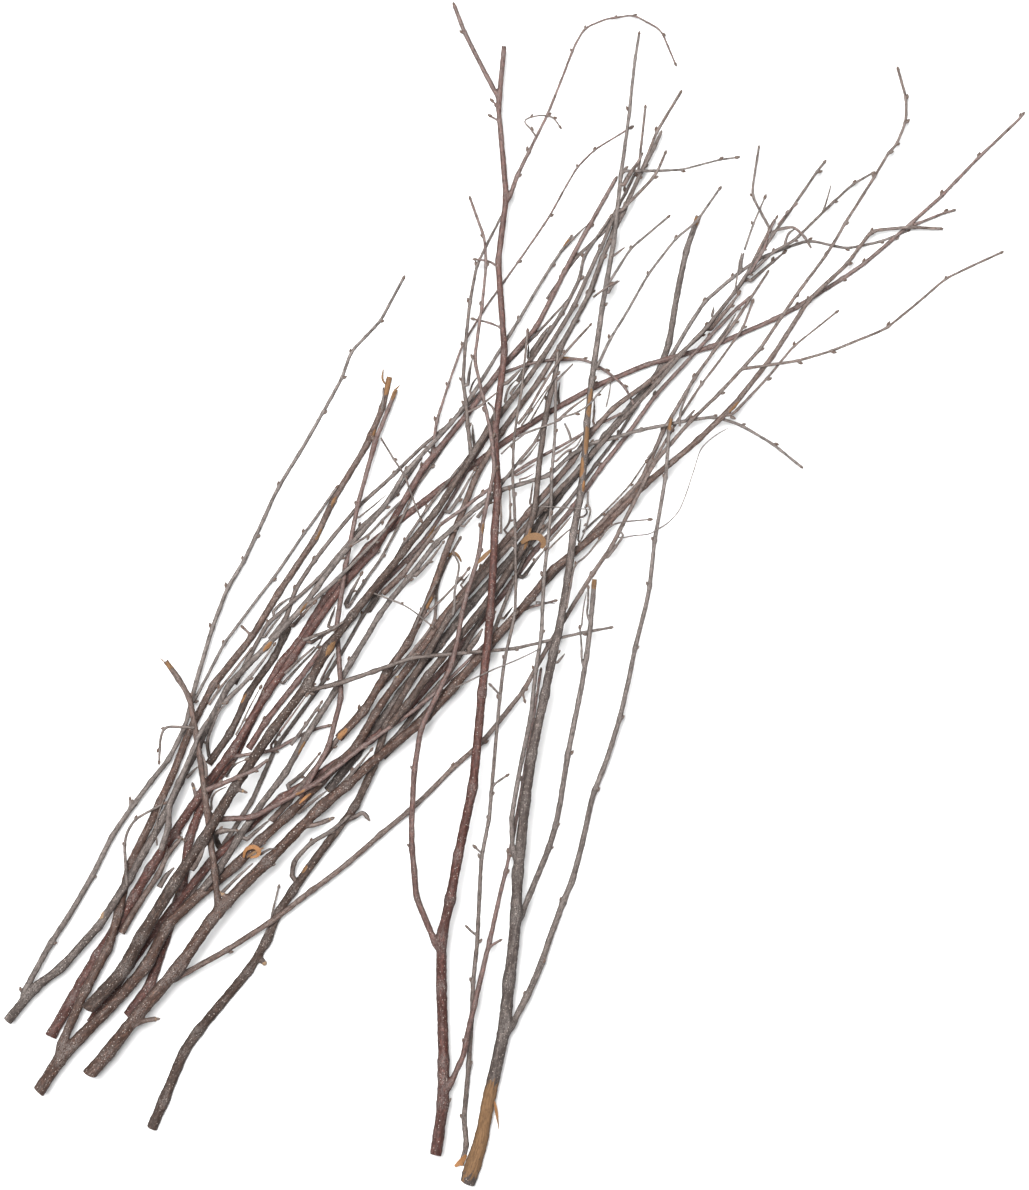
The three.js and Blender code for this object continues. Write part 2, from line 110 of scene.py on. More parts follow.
# Swollen places: limb, where, half the length of the swelling, how much thicker it is.
KNOBS = [
    ("twig_21_stem", (-25, -343), 9, 0.22),
    ("twig_22_stem", (-137, -22), 4, 0.35),
    ("twig_10_branch_a", (-80, 93), 4, 0.35),
    ("twig_09_branch_b", (30, 143), 4, 0.6),
    ("twig_17_stem", (-107, -130), 6, 0.2),
    ("twig_18_stem", (-109, -32), 5, 0.2),
    ("twig_13_stem", (-146, -206), 5, 0.15),
    ("twig_12_stem", (-87, 88), 5, 0.3),
]

# Limbs that are slimmer than their solids: limb and share of the solid's thickness.
SLIM = {
    "twig_20_branch_c": 0.66,
    "twig_09_branch_a": 0.72,
    "twig_17_branch_b": 0.85,
    "twig_21_branch_f": 0.85,
}

# Short side stubs: limb, course from the limb outwards, radius at the limb and at the end.
STUBS = [
    ("twig_13_stem", [(-97, -134), (-91, -130), (-88, -134)], 1.5, 1.3),
    ("twig_13_stem", [(-148, -202), (-145, -188), (-142, -176)], 0.9, 0.6),
    ("twig_17_stem", [(-226, -256), (-219, -254), (-214, -253.5)], 1.9, 1.5),
    ("twig_17_stem", [(-121, -138), (-115, -136), (-110, -134)], 1.7, 1.4),
    ("twig_17_branch_c", [(5, -59), (6, -63)], 1.1, 0.8),
    ("twig_19_stem", [(-22, -204), (-25, -202), (-28, -199)], 1.0, 0.8),
    ("twig_19_stem", [(-19, -155), (-23, -151)], 0.9, 0.7),
    ("twig_19_stem", [(-11, -112), (-5, -108)], 0.9, 0.7),
    ("twig_19_stem", [(-10, -58), (-14, -54)], 0.8, 0.6),
    ("twig_20_branch_b", [(-14, -210), (-9, -207)], 1.0, 0.8),
    ("twig_20_branch_b", [(-4, -160), (-4, -154)], 0.9, 0.7),
    ("twig_20_branch_b", [(11, -77), (14, -72)], 0.8, 0.6),
    ("twig_20_stem", [(-8, 194), (-14, 200), (-23, 201)], 0.9, 0.6),
    ("twig_20_stem", [(-8, 160), (-15, 163), (-24, 165)], 0.9, 0.6),
    ("twig_20_stem", [(-9, 284), (-14, 287)], 0.9, 0.6),
    ("twig_20_stem", [(-9, 292), (-13, 296)], 0.8, 0.5),
    ("twig_21_branch_b", [(40, -40), (40, -30), (39, -20)], 0.9, 0.6),
    ("twig_21_branch_b", [(43, -12), (44, -4), (44, 4)], 0.9, 0.6),
    ("twig_14_stem", [(-245, -190), (-247, -193)], 2.2, 1.8),
    ("twig_13_stem", [(-154, -218), (-149.5, -222.5)], 2.4, 1.8),
    ("twig_17_stem", [(-170, -185), (-175, -177)], 2.2, 1.7),
    ("twig_10_stem", [(-74, -57), (-70, -49)], 2.1, 1.6),
    ("twig_05_stem", [(-199, -181), (-204, -178)], 1.3, 1.0),
    ("twig_09_stem", [(-205, -144), (-199, -147)], 1.4, 1.1),
    ("twig_18_stem", [(-167, -115), (-161, -117)], 1.6, 1.3),
    ("twig_10_branch_a", [(-158, -25), (-163, -20)], 1.2, 0.9),
    ("twig_14_branch_a", [(-231, -128), (-231, -123)], 1.2, 1.0),
    ("twig_09_stem", [(-192, -119), (-193, -115)], 1.2, 1.0),
]

# Fine shoots: bark, limb they grow on, course, radius at both ends. One without a limb lies loose.
# A NEAREST one grows on the limb nearest to its start, where there is one, and tapers away.
SHOOTS = [
    ("dark", None, [(-232, -174), (-233, -160), (-234, -150), (-232, -142), (-227, -135),
     (-219, -130), (-210, -125)], 1.1, 0.8),
    ("dark", None, [(-191, -79), (-200, -79), (-208, -79), (-211, -85), (-212, -92), (-212, -99)],
     1.0, 0.8),
    ("dark", None, [(-214, -150), (-215, -140), (-213, -130), (-210, -122)], 0.6, 0.5),
    ("red", None, [(-183, -116), (-175, -112), (-165, -109), (-155, -104), (-148, -99)], 1.6, 1.1),
    ("dark", "twig_13_stem", [(-134, -170), (-133, -160), (-122, -149), (-110, -141),
     (-100, -133)], 1.6, 1.2),
    ("grey", "twig_17_branch_c", [(64, 34), (70, 36), (80, 36), (86, 39), (92, 43), (98, 50),
     (103, 60), (107, 75), (112, 88), (120, 96), (128, 100)], 0.45, 0.3),
    ("brown", "twig_20_branch_c", [(14, 273), (11, 279), (5, 284), (10, 287), (17, 287.5),
     (23, 286), (27, 281)], 0.6, 0.5),
    ("dark", None, [(-80, 94), (-72, 82), (-66, 71), (-62, 60), (-56, 45)], 0.7, 0.6),
    ("grey", None, [(-67, 190), (-73, 180)], 0.4, 0.3),
    ("brown", "twig_21_stem", [(64, 230), (66, 233), (77, 243), (84, 250), (87, 256), (90, 264)],
     1.1, 0.9),
    ("brown", None, [(47, 178), (55, 184), (62, 188)], 0.8, 0.6),
    ("brown", None, [(58, 202), (66, 208)], 0.8, 0.6),
    ("brown", None, [(2, 102), (8, 110), (15, 122), (22, 133), (30, 144), (37, 152), (45, 161)],
     1.0, 0.8),
    ("dark", None, [(25, 128), (30, 133), (35, 138)], 0.8, 0.6),
    ("brown", "twig_13_stem", [(157, 219), (163, 221), (168, 221), (174, 214), (178, 208)], 1.0,
     0.8),
    ("dark", "twig_13_branch_a", [(183, 227), (186, 232), (188, 239), (190, 246)], 0.7, 0.5),
    ("grey", None, [(132, 182), (134, 195), (136, 205)], 0.7, 0.5),
    ("grey", None, [(138, 207), (143, 222), (150, 238)], 0.8, 0.6),
    ("red", None, [(141, 193), (149, 207), (153, 218), (157, 226)], 0.9, 0.6),
    ("red", None, [(158, 222), (164, 230), (170, 235)], 0.7, 0.6),
    ("grey", None, [(-84, 1), (-76, -2), (-68, -5), (-61, -9), (-50, -18)], 0.6, 0.5),
    ("grey", None, [(-35, -55), (-15, -45), (5, -38), (15, -32)], 0.5, 0.4),
    ("grey", None, [(15, 53), (30, 52), (45, 51)], 0.4, 0.3),
    ("dark", None, [(31, -8), (33, 5), (36, 18), (43, 23), (50, 33), (57, 41), (63, 43), (70, 44),
     (80, 45)], 0.7, 0.5),
    ("grey", None, [(-37, -12), (-36, -5), (-36, 1), (-34, 9), (-33, 15), (-33, 19), (-36, 24)],
     0.9, 0.7),
    ("brown", None, [(-57, -17), (-51, -9), (-44, -3), (-37, 4), (-32, 9), (-28, 15)], 0.9, 0.7),
    ("dark", None, [(-60, -20), (-56, -10), (-51, -1), (-47, 7)], 0.9, 0.8),
    ("dark", None, [(4, 101), (12, 113), (19, 123), (26, 132)], 0.6, 0.5),
    ("dark", None, [(41, 38), (50, 47), (62, 58), (70, 66), (75, 74), (79, 80)], 0.7, 0.6),
    ("dark", None, [(34, 92), (33, 97), (31, 101), (30, 103)], 0.8, 0.7),
    ("grey", None, [(44, 62), (44, 54), (46, 51), (43, 43), (41, 36), (39, 31)], 0.7, 0.5),
    ("dark", None, [(-134, -90), (-126, -78), (-118, -69), (-116, -65)], 1.1, 0.9),
    ("dark", None, [(-138, -47), (-128, -38), (-120, -31)], 0.9, 0.8),
    ("dark", None, [(-126, -27), (-118, -24), (-108, -20), (-102, -16)], 1.1, 0.9),
    ("grey", None, [(-211, -152), (-207, -138), (-206, -127), (-202, -115), (-196, -103),
     (-191, -93), (-188, -84), (-183, -75)], 1.9, 1.3),
    ("dark", None, [(9, 103), (17, 117), (24, 130)], 0.6, 0.5),
    ("grey", None, [(-8, 84), (-2, 90), (6, 96)], 0.6, 0.5),
    ("grey", None, [(2, 95), (13, 99), (24, 103)], 0.8, 0.6),
    ("dark", None, [(20, 27), (27, 34), (34, 40)], 0.6, 0.5),
    ("grey", None, [(28, 106), (36, 109), (44, 113), (50, 119), (56, 127)], 0.7, 0.5),
    ("grey", None, [(55, 113), (57, 121), (58, 129)], 0.5, 0.4),
    ("dark", None, [(-68, 56), (-79, 44), (-88, 36), (-97, 30)], 0.9, 0.7),
    ("brown", None, [(-28, 109), (-21, 112), (-15, 117), (-10, 121)], 0.8, 0.6),
    ("dark", None, [(-16, 115), (-12, 111), (-12, 104)], 0.7, 0.6),
    ("grey", "twig_10_branch_a", [(-82, 105), (-79, 114), (-79, 125)], 0.8, 0.6),
    ("dark", None, [(99, 101), (99, 108), (101, 115), (105, 124)], 0.8, 0.6),
    ("dark", None, [(102, 104), (108, 111)], 0.9, 0.8),
    ("dark", None, [(80, 82), (84, 87), (86, 90)], 0.9, 0.7),
    ("brown", None, [(-184, -66), (-178, -57), (-169, -46), (-159, -33)], 0.9, 0.8),
    ("grey", NEAREST, [(-175, -65), (-166, -57), (-159, -50), (-151, -40), (-144, -30)], 1.5, 1.1),
    ("dark", NEAREST, [(-168, -85), (-163, -76), (-160, -69), (-153, -56)], 0.7, 0.6),
    ("red", NEAREST, [(-147, -91), (-140, -82), (-132, -71), (-124, -60)], 0.9, 0.8),
    ("dark", NEAREST, [(-137, -115), (-129, -109), (-122, -101), (-118, -96)], 1.5, 1.1),
    ("dark", NEAREST, [(-130, -131), (-120, -123), (-112, -117)], 1.2, 1.0),
    ("dark", NEAREST, [(-103, -113), (-94, -103), (-86, -93)], 1.3, 1.0),
    ("dark", NEAREST, [(-161, -147), (-153, -140), (-147, -135)], 1.4, 1.2),
    ("brown", None, [(-236, -203), (-230, -192), (-222, -179), (-214, -167), (-208, -156),
     (-201, -147)], 2.1, 1.4),
    ("dark", NEAREST, [(-214, -176), (-210, -169), (-205, -164)], 1.7, 1.5),
    ("dark", NEAREST, [(-192, -164), (-187, -156), (-184, -149)], 1.8, 1.4),
    ("dark", NEAREST, [(-184, -98), (-185, -89), (-182, -81), (-177, -70), (-173, -65)], 1.2, 1.0),
    ("dark", NEAREST, [(-151, -26), (-146, -19), (-140, -12)], 0.9, 0.8),
    ("brown", NEAREST, [(-134, -19), (-127, -12), (-120, -5)], 1.4, 1.1),
    ("dark", NEAREST, [(-112, -20), (-110, -13), (-108, -7)], 1.2, 0.8),
    ("red", NEAREST, [(-117, -52), (-113, -44), (-108, -35)], 0.8, 0.7),
    ("dark", NEAREST, [(-88, -10), (-83, -3), (-79, 3)], 1.6, 1.3),
    ("dark", NEAREST, [(-146, -4), (-140, 2)], 0.9, 0.8),
    ("grey", NEAREST, [(-153, -156), (-147, -152), (-142, -151)], 1.1, 0.8),
    ("grey", NEAREST, [(-40, 49), (-34, 57), (-29, 66), (-24, 75)], 1.3, 1.0),
    ("brown", None, [(-79, 1), (-68, 12), (-58, 24), (-51, 32), (-45, 41)], 2.0, 1.2),
    ("dark", NEAREST, [(-60, 11), (-51, 20), (-43, 31)], 1.3, 1.0),
    ("dark", NEAREST, [(-102, -6), (-97, 3), (-92, 12)], 1.5, 1.2),
    ("dark", NEAREST, [(-94, 46), (-85, 53), (-77, 60)], 0.7, 0.6),
    ("dark", NEAREST, [(-8, 36), (-8, 46), (-8, 57)], 1.0, 0.7),
    ("brown", NEAREST, [(-7, 38), (-3, 44), (-2, 53), (-3, 63)], 0.9, 0.7),
    ("brown", NEAREST, [(9, 54), (10, 60), (11, 67)], 0.9, 0.8),
    ("red", NEAREST, [(0, 71), (6, 74), (12, 78)], 0.8, 0.6),
    ("brown", NEAREST, [(2, 69), (7, 70), (12, 73)], 0.7, 0.6),
    ("brown", NEAREST, [(26, 104), (33, 111), (43, 118)], 1.1, 0.9),
    ("brown", NEAREST, [(47, 103), (48, 110), (48, 118)], 0.8, 0.7),
    ("brown", NEAREST, [(22, 83), (31, 88), (40, 95)], 0.8, 0.6),
    ("dark", NEAREST, [(24, 79), (31, 86), (37, 88), (40, 94)], 0.8, 0.7),
    ("dark", NEAREST, [(3, 78), (9, 84), (14, 91)], 0.8, 0.6),
    ("dark", NEAREST, [(21, 32), (28, 40), (34, 47)], 0.9, 0.8),
    ("grey", NEAREST, [(4, 10), (11, 18), (18, 27)], 1.3, 1.1),
    ("dark", NEAREST, [(-28, -33), (-23, -27), (-19, -20)], 1.9, 1.6),
    ("dark", NEAREST, [(-31, 40), (-27, 45), (-23, 49)], 0.8, 0.6),
    ("dark", NEAREST, [(-33, 5), (-27, 13)], 0.8, 0.6),
    ("dark", NEAREST, [(-7, -15), (-1, -7)], 1.0, 0.8),
    ("grey", NEAREST, [(12, -4), (24, -5)], 0.6, 0.5),
    ("grey", NEAREST, [(40, -19), (41, -8), (43, 2)], 0.7, 0.5),
    ("dark", NEAREST, [(25, -41), (30, -35)], 1.0, 0.8),
    ("dark", NEAREST, [(55, 22), (60, 29), (66, 36), (63, 38), (66, 42)], 1.1, 0.8),
    ("dark", NEAREST, [(-6, 115), (-4, 124), (1, 129)], 1.0, 0.7),
    ("dark", NEAREST, [(-27, 121), (-25, 127), (-21, 131)], 0.8, 0.6),
    ("dark", NEAREST, [(40, 46), (44, 49), (42, 53)], 0.7, 0.6),
    ("dark", NEAREST, [(38, 32), (39, 39), (40, 46)], 0.7, 0.5),
    ("brown", NEAREST, [(117, 159), (123, 166), (129, 173), (134, 180)], 1.5, 1.4),
    ("dark", NEAREST, [(141, 188), (150, 196), (156, 201), (162, 206)], 1.2, 1.1),
    ("grey", NEAREST, [(136, 196), (136, 201), (138, 206)], 1.4, 1.2),
    ("dark", NEAREST, [(121, 151), (127, 159), (133, 169)], 1.0, 0.8),
    ("dark", NEAREST, [(118, 166), (119, 170), (119.5, 173)], 1.0, 0.9),
    ("dark", NEAREST, [(162, 210), (164, 217), (169, 220)], 1.0, 0.8),
    ("brown", NEAREST, [(65, 245), (69, 252), (74, 259), (77, 265)], 1.5, 1.3),
    ("dark", NEAREST, [(27, 206), (35, 214), (43, 222)], 1.1, 0.9),
    ("dark", NEAREST, [(56, 180), (58, 185), (63, 188)], 1.1, 0.9),
    ("dark", NEAREST, [(10, 145), (15, 153), (20, 161)], 1.7, 1.4),
    ("dark", NEAREST, [(8, 142), (8.5, 150)], 1.0, 0.8),
    ("dark", NEAREST, [(-5, 126), (0, 131), (4, 135)], 1.3, 1.2),
    ("dark", NEAREST, [(-3, 120), (0, 124), (3, 127)], 1.1, 1.0),
    ("grey", NEAREST, [(-28, 125), (-27, 133), (-25, 141)], 1.2, 0.9),
    ("dark", NEAREST, [(27, 114), (26, 120), (27, 127)], 1.0, 0.8),
    ("dark", NEAREST, [(-24, 89), (-25, 95), (-25, 102)], 1.1, 0.9),
    ("dark", NEAREST, [(-175, -178), (-165, -168), (-156, -160)], 1.2, 1.0),
    ("dark", NEAREST, [(-178, -151), (-180, -144), (-175, -140), (-166, -140)], 1.9, 1.9),
    ("dark", NEAREST, [(-181, -129), (-181, -122), (-178, -117), (-171, -114)], 0.9, 0.7),
    ("dark", NEAREST, [(-174, -110), (-167, -101), (-160, -98)], 0.9, 0.7),
    ("dark", NEAREST, [(-140, -54), (-128, -41), (-119, -32), (-115, -24)], 1.0, 0.8),
    ("brown", NEAREST, [(-123, -29), (-116, -25), (-108, -21)], 1.3, 1.0),
    ("dark", NEAREST, [(-146, -11), (-141, -5), (-134, -1)], 1.0, 0.8),
    ("dark", NEAREST, [(-184, -109), (-184, -102), (-186, -95)], 1.3, 1.0),
    ("dark", NEAREST, [(-197, -110), (-190, -103)], 1.2, 1.0),
]

# Places without bark: limb, where, half its length along the limb, how orange the wood is (0 tan,
# 1 orange), and how much of the way round it goes (0 only along the very top).
BARE = [
    ("twig_21_stem", (-18, -322), 34, 0.0, 1.0),
    ("twig_21_stem", (40, 76), 7, 0.3, 0.5),
    ("twig_21_stem", (44, 64), 4, 0.5, 0.3),
    ("twig_21_stem", (43, 92), 10, 0.1, 0.5),
    ("twig_21_stem", (45, 114), 10, 0.0, 0.6),
    ("twig_19_stem", (-31, -342), 4, 1.0, 0.5),
    ("twig_10_branch_a", (-109, 56), 5, 0.2, 0.2),
    ("twig_10_branch_a", (-117, 37), 4, 0.1, 0.15),
    ("twig_10_branch_a", (-84, 97), 3, 0.2, 0.2),
    ("twig_10_branch_a", (-76, 127), 7, 0.25, 0.7),
    ("twig_12_stem", (-72, 121), 5, 0.2, 0.6),
    ("twig_13_stem", (-128, -163), 3, 0.2, 0.1),
    ("twig_15_stem", (-128, -118), 4, 0.5, 0.2),
    ("twig_08_stem", (-103, -83), 5, 0.5, 0.4),
    ("twig_08_stem", (-51, -4), 4, 0.4, 0.4),
    ("twig_16_stem", (9, 34), 8, 0.2, 0.3),
    ("twig_21_branch_a", (94, 102), 4, 0.1, 0.8),
    ("twig_21_branch_b", (48, 7), 5, 0.0, 1.0),
    ("twig_17_branch_a", (-206, -41), 3, 0.1, 1.0),
    ("twig_01_stem", (110, 226), 3, 0.2, 0.8),
    ("twig_14_stem", (33, 211), 3, 0.5, 1.0),
    ("twig_14_stem", (-126, -8), 4, 0.2, 0.25),
    ("twig_14_stem", (-148, -31), 4, 0.5, 0.25),
    ("twig_18_stem", (-110, -32), 6, 0.1, 0.2),
    ("twig_17_stem", (131, 112), 5, 0.2, 0.2),
    ("twig_22_stem", (-163, -62), 4, 0.4, 0.2),
    ("twig_24_stem", (-22, 20), 6, 0.3, 0.3),
    ("twig_09_branch_b", (30, 143), 4, 0.3, 0.3),
    ("twig_20_branch_a", (-19, 40), 4, 0.1, 0.2),
    ("twig_11_stem", (-120, -96), 5, 0.1, 0.2),
]

# Torn strips: name, limb, course with a height above the limb's middle, width, how orange.
STRIPS = [
    ("splinter_01", "twig_21_stem", [(-12, -304, 2.5), (-11, -309, 2), (-10.5, -313, 1.4),
     (-10, -317, 1)], 1.8, 0.9),
    ("splinter_02", "twig_21_stem", [(-11, -310, 1.5), (-10, -315, 1.4), (-9.5, -321, 1)], 0.9,
     0.1),
    ("splinter_03", "twig_19_stem", [(-29, -337, 1), (-32, -341, 0.8), (-36, -344, 0.5)], 3.4, 1.0),
    ("curl_01", "twig_10_stem", [(-162, -157, 6), (-161, -152, 7.5), (-156, -150, 8.5),
     (-152, -152.5, 8.5), (-153.5, -156, 7.5), (-158, -157, 6.5)], 2.6, 0.7),
    ("curl_02", "twig_10_stem", [(-160, -157, 6), (-156, -154, 8), (-150, -151, 7.5)], 1.6, 0.3),
    ("curl_03", "twig_06_stem", [(-40, 23, 1.5), (-37, 26, 2.5), (-34, 24, 2.5), (-32, 20, 1)],
     1.8, 0.3),
    ("curl_04", "twig_18_stem", [(-128, -124, 5), (-124, -120, 6), (-121, -118, 6)], 1.6, 0.7),
    ("peel_01", "twig_16_stem", [(4, 31, 4), (9, 35, 6), (15, 35, 7), (18, 31, 6), (16, 28, 5)],
     4.4, 0.12),
    ("peel_02", "twig_17_branch_a", [(-208, -41, 1), (-210, -39, 1.5), (-212, -37, 2)], 0.7, 0.1),
    ("peel_03", "twig_10_branch_a", [(-77, 126, 1), (-80, 130, 2), (-79, 136, 2)], 1.2, 0.4),
    ("peel_04", "twig_20_branch_a", [(-22, 19, 1), (-18, 23, 2), (-14, 27, 2)], 2.6, 0.4),
    ("peel_05", "twig_12_stem", [(-74, 118, 1), (-73, 122, 2), (-69, 126, 1.5)], 1.2, 0.3),
]

# --- Settings ---

def number(name, description, default, low=0.0, **more):
    """A setting with a decimal number."""
    return bpy.props.FloatProperty(
        name=name, description=description, default=default, min=low, **more)


def corners(name, description, default):
    """A setting with a count of corners."""
    return bpy.props.IntProperty(
        name=name, description=description, default=default, min=6, max=32)


def colour(name, description, default):
    """A setting with a colour."""
    return bpy.props.FloatVectorProperty(
        name=name, description=description, default=default,
        min=0, max=1, size=3, subtype="COLOR")


class TwigForm(bpy.types.PropertyGroup):
    """Sizes of the grown wood."""

    ring_step: number("Ring step", "Distance between two rings of corners along a limb",
                      0.0016, 0.0005, max=0.01, unit="LENGTH")
    stem_sides: corners("Stem sides", "Corners round a stem; an even number", 16)
    branch_sides: corners("Branch sides", "Corners round a branch; an even number", 12)
    node_gap: number("Bud spacing", "Usual distance between two buds on a limb",
                     0.034, 0.01, max=0.1, unit="LENGTH")
    node_swell: number("Node swelling", "How much thicker a limb is where a bud sits",
                       0.2, max=0.6, subtype="FACTOR")
    node_bend: number("Node bend", "How far a limb swings to and fro between its buds",
                      0.0006, max=0.003, unit="LENGTH")
    bud_length: number("Bud length", "Length of a winter bud",
                       0.0034, 0.001, max=0.01, unit="LENGTH")
    bark_lumps: number("Bark lumps", "Height of the uneven swells in the bark",
                       0.0004, max=0.002, unit="LENGTH")


class TwigTones(bpy.types.PropertyGroup):
    """Colours of bark and wood."""

    red: colour("Red bark", "Main tone of the reddish bark", (0.110, 0.046, 0.037))
    brown: colour("Brown bark", "Main tone of the brown bark", (0.100, 0.056, 0.042))
    grey: colour("Grey bark", "Main tone of the grey bark", (0.115, 0.090, 0.080))
    dark: colour("Dark bark", "Main tone of the dark bark", (0.072, 0.045, 0.035))
    film: colour("Grey film", "Dry grey film that lies over the bark", (0.205, 0.182, 0.170))
    dots: colour("Lenticels", "Pale pores in the bark", (0.340, 0.290, 0.260))
    wood: colour("Bare wood", "Tan wood under the bark", (0.165, 0.093, 0.047))
    inner: colour("Inner bark", "Fresh orange inner bark", (0.285, 0.135, 0.055))
    cut: colour("Cut wood", "End grain of a cut", (0.270, 0.180, 0.110))


class TwigStage(bpy.types.PropertyGroup):
    """Floor, light and camera."""

    floor_size: number("Floor size", "Side of the square floor", 12.0, 2.0, unit="LENGTH")
    lens: number("Lens", "Focal length of the camera in millimetres", 150.0, 20.0)
    view_height: number("View height", "Height of the picture at the bundle's middle",
                        0.714, 0.1, unit="LENGTH")
    lamp: number("Softbox", "Power of the big softbox overhead", 440.0, unit="POWER")
    fill: number("Fill", "Share of the softbox's power that the side lamp has", 0.06)
    sky: number("Room light", "Strength of the even light from above", 0.22)
    horizon: number("Horizon", "Strength of the pale wall round the room", 0.9)


# --- Courses: the middle line of every limb ---

RING_EDGE = 5.5 * MM  # an edge shorter than this joins two corners of one ring of a solid limb
MERGE = 0.001 * MM
CORNER_REACH = 5.0 * MM  # how far from a corner of its course a limb starts to turn
CORNER_SHARE = 0.45  # most of the straight next to a corner that the turn takes up
CORNER_STEPS = 9
LEAST_TURN = math.radians(4)  # a corner that turns by less than this carries no bud of its own
FORK_REACH = 9 * MM  # most that a branch's own course runs on towards its stem past its solid's end
FORK_ANGLE = math.radians(56)  # angle at which a branch leaves its stem, up to its elbow
FORK_SLOPE = 0.15  # least sine of the angle between a branch's own course and its stem
FORK_FADE = 0.02  # m along a branch over which it follows its stem's own bends
FIRST_FORK = 0.002  # m from the butt to the first place where a branch can leave
FIRST_BUD = (0.3, 0.8)  # range of the first bud's place on a limb, in bud spacings
NEXT_BUD = (0.6, 1.35)  # range of the step from one bud to the next
BUD_CLEAR = 0.6  # least distance to a bud whose place is known or that sits at a turn
TURN_CLEAR = 0.3  # least distance from a bud at a turn to another such bud
BUD_MARGIN = 0.006  # m from a limb's end to its last bud on the side
BUD_TURN = 0.55  # radians, spread of the direction of the buds round a limb
BENDY = 1.6 * MM  # limbs of more than this mean radius bend less at their buds
BUD_BULGE = 1.3  # reach of the swelling at a bud, in the limb's radii
LEAST_BULGE = 1.2 * MM
FULL_BULGE = 2.2 * MM  # limbs thicker than this radius swell less at their buds
FORK_BULGE = 2.2  # reach of the swelling past a fork, in the limb's radii
FORK_SWELL = 0.15  # how much thicker a limb is there
FLARE = 0.45  # how much thicker a branch is where it starts
WAVES = (0.021, 0.009, 0.0042)  # m, lengths of the waves in a limb's outline
WAVE_HEIGHT = 0.022  # share of the limb's thickness
THIN_LOSS = 0.08  # how much slimmer the thinnest limbs are than their solids
THIN, STURDY = 0.8, 1.5  # mm, radii between which that loss goes away
FULL_WAY = 0.03  # m along a branch over which a slim shoot loses its solid's thickness
BRANCH_SHARE = 0.93  # greatest radius of a branch, as a share of its stem's radius
STUB_RISE = 0.4  # how far a side stub's end rises, in its radii
STUB_FLARE = 0.4  # how much thicker a side stub is where it starts
STUB_SHARE = 0.9  # greatest radius of a side stub, as a share of its limb's radius
FLOAT = 0.2 * MM  # air between a fine shoot and the limb that it lies on


def length_along(line):
    """Distance of each place from the line's start."""
    return np.concatenate([[0.0], np.cumsum(np.linalg.norm(np.diff(line, axis=0), axis=1))])


class Course:
    """A limb's fine middle line: places, radii, distance along, and two directions across it."""

    def __init__(self, name, line, radii):
        self.name = name
        self.line = line
        self.radii = radii
        self.parent = None
        self.fork = None  # place on the parent where this limb starts
        self.turns = []  # (place, outward direction) of each corner of the course
        self.nodes = []  # (index, direction) of each bud
        self.knots = np.zeros(len(line))
        self.forks = []  # indices where branches leave
        self.phase = 0.0
        self.measure()

    def measure(self):
        """Works out distances and directions again after the line has moved."""
        self.along = length_along(self.line)
        ahead = np.gradient(self.line, axis=0)
        self.ahead = ahead / np.linalg.norm(ahead, axis=1)[:, None]
        side = np.cross(self.ahead[0], UP)
        sides = []
        for direction in self.ahead:
            side = side - direction * side.dot(direction)
            side = side / np.linalg.norm(side)
            sides.append(side)
        self.side = np.array(sides)
        self.over = np.cross(self.side, self.ahead)

    @property
    def length(self):
        return self.along[-1]

    def nearest(self, x, y):
        """Index of the place nearest to x, y, seen from above."""
        return int(np.argmin(np.hypot(self.line[:, 0] - x, self.line[:, 1] - y)))


def solid_stations(node):
    """Centre and radius of each ring of corners of a solid limb, thick end first."""
    work = bmesh.new()
    work.from_mesh(node.data)
    bmesh.ops.remove_doubles(work, verts=work.verts, dist=MERGE)
    owner = {}
    rings = []
    for corner in work.verts:
        if corner in owner:
            continue
        owner[corner] = len(rings)
        ring = [corner]
        for v in ring:
            for edge in v.link_edges:
                other = edge.other_vert(v)
                if other not in owner and edge.calc_length() < RING_EDGE:
                    owner[other] = len(rings)
                    ring.append(other)
        rings.append(np.array([v.co[:] for v in ring]))
    links = {i: set() for i in range(len(rings))}
    for edge in work.edges:
        a, b = (owner[v] for v in edge.verts)
        if a != b:
            links[a].add(b)
            links[b].add(a)
    work.free()
    centres = [ring.mean(axis=0) for ring in rings]
    radii = [np.linalg.norm(ring - centre, axis=1).max() for ring, centre in zip(rings, centres)]
    here = max((i for i in links if len(links[i]) == 1), key=lambda i: radii[i])
    order = [here]
    while len(order) < len(rings):
        here = next(i for i in links[here] if i not in order)
        order.append(here)
    return np.array([centres[i] for i in order]), np.array([radii[i] for i in order])


def rounded_line(stations, radii, step, reach=CORNER_REACH):
    """Evenly spaced places and radii on a line that runs straight between its stations."""
    span = np.linalg.norm(np.diff(stations, axis=0), axis=1)
    at = length_along(stations)
    dense, key = [stations[0]], [0.0]
    for i in range(1, len(stations) - 1):
        back, ahead = (min(reach, CORNER_SHARE * span[k]) for k in (i - 1, i))
        before = stations[i] + (stations[i - 1] - stations[i]) * back / span[i - 1]
        after = stations[i] + (stations[i + 1] - stations[i]) * ahead / span[i]
        for u in np.linspace(0, 1, CORNER_STEPS):
            dense.append((1 - u) ** 2 * before + 2 * u * (1 - u) * stations[i] + u**2 * after)
            key.append(at[i] - back + u * (back + ahead))
    dense, key = np.array(dense + [stations[-1]]), key + [at[-1]]
    run = length_along(dense)
    places = np.linspace(0, run[-1], max(int(run[-1] / step), 4) + 1)
    line = np.column_stack([np.interp(places, run, dense[:, k]) for k in range(3)])
    return line, np.interp(np.interp(places, run, key), at, radii)


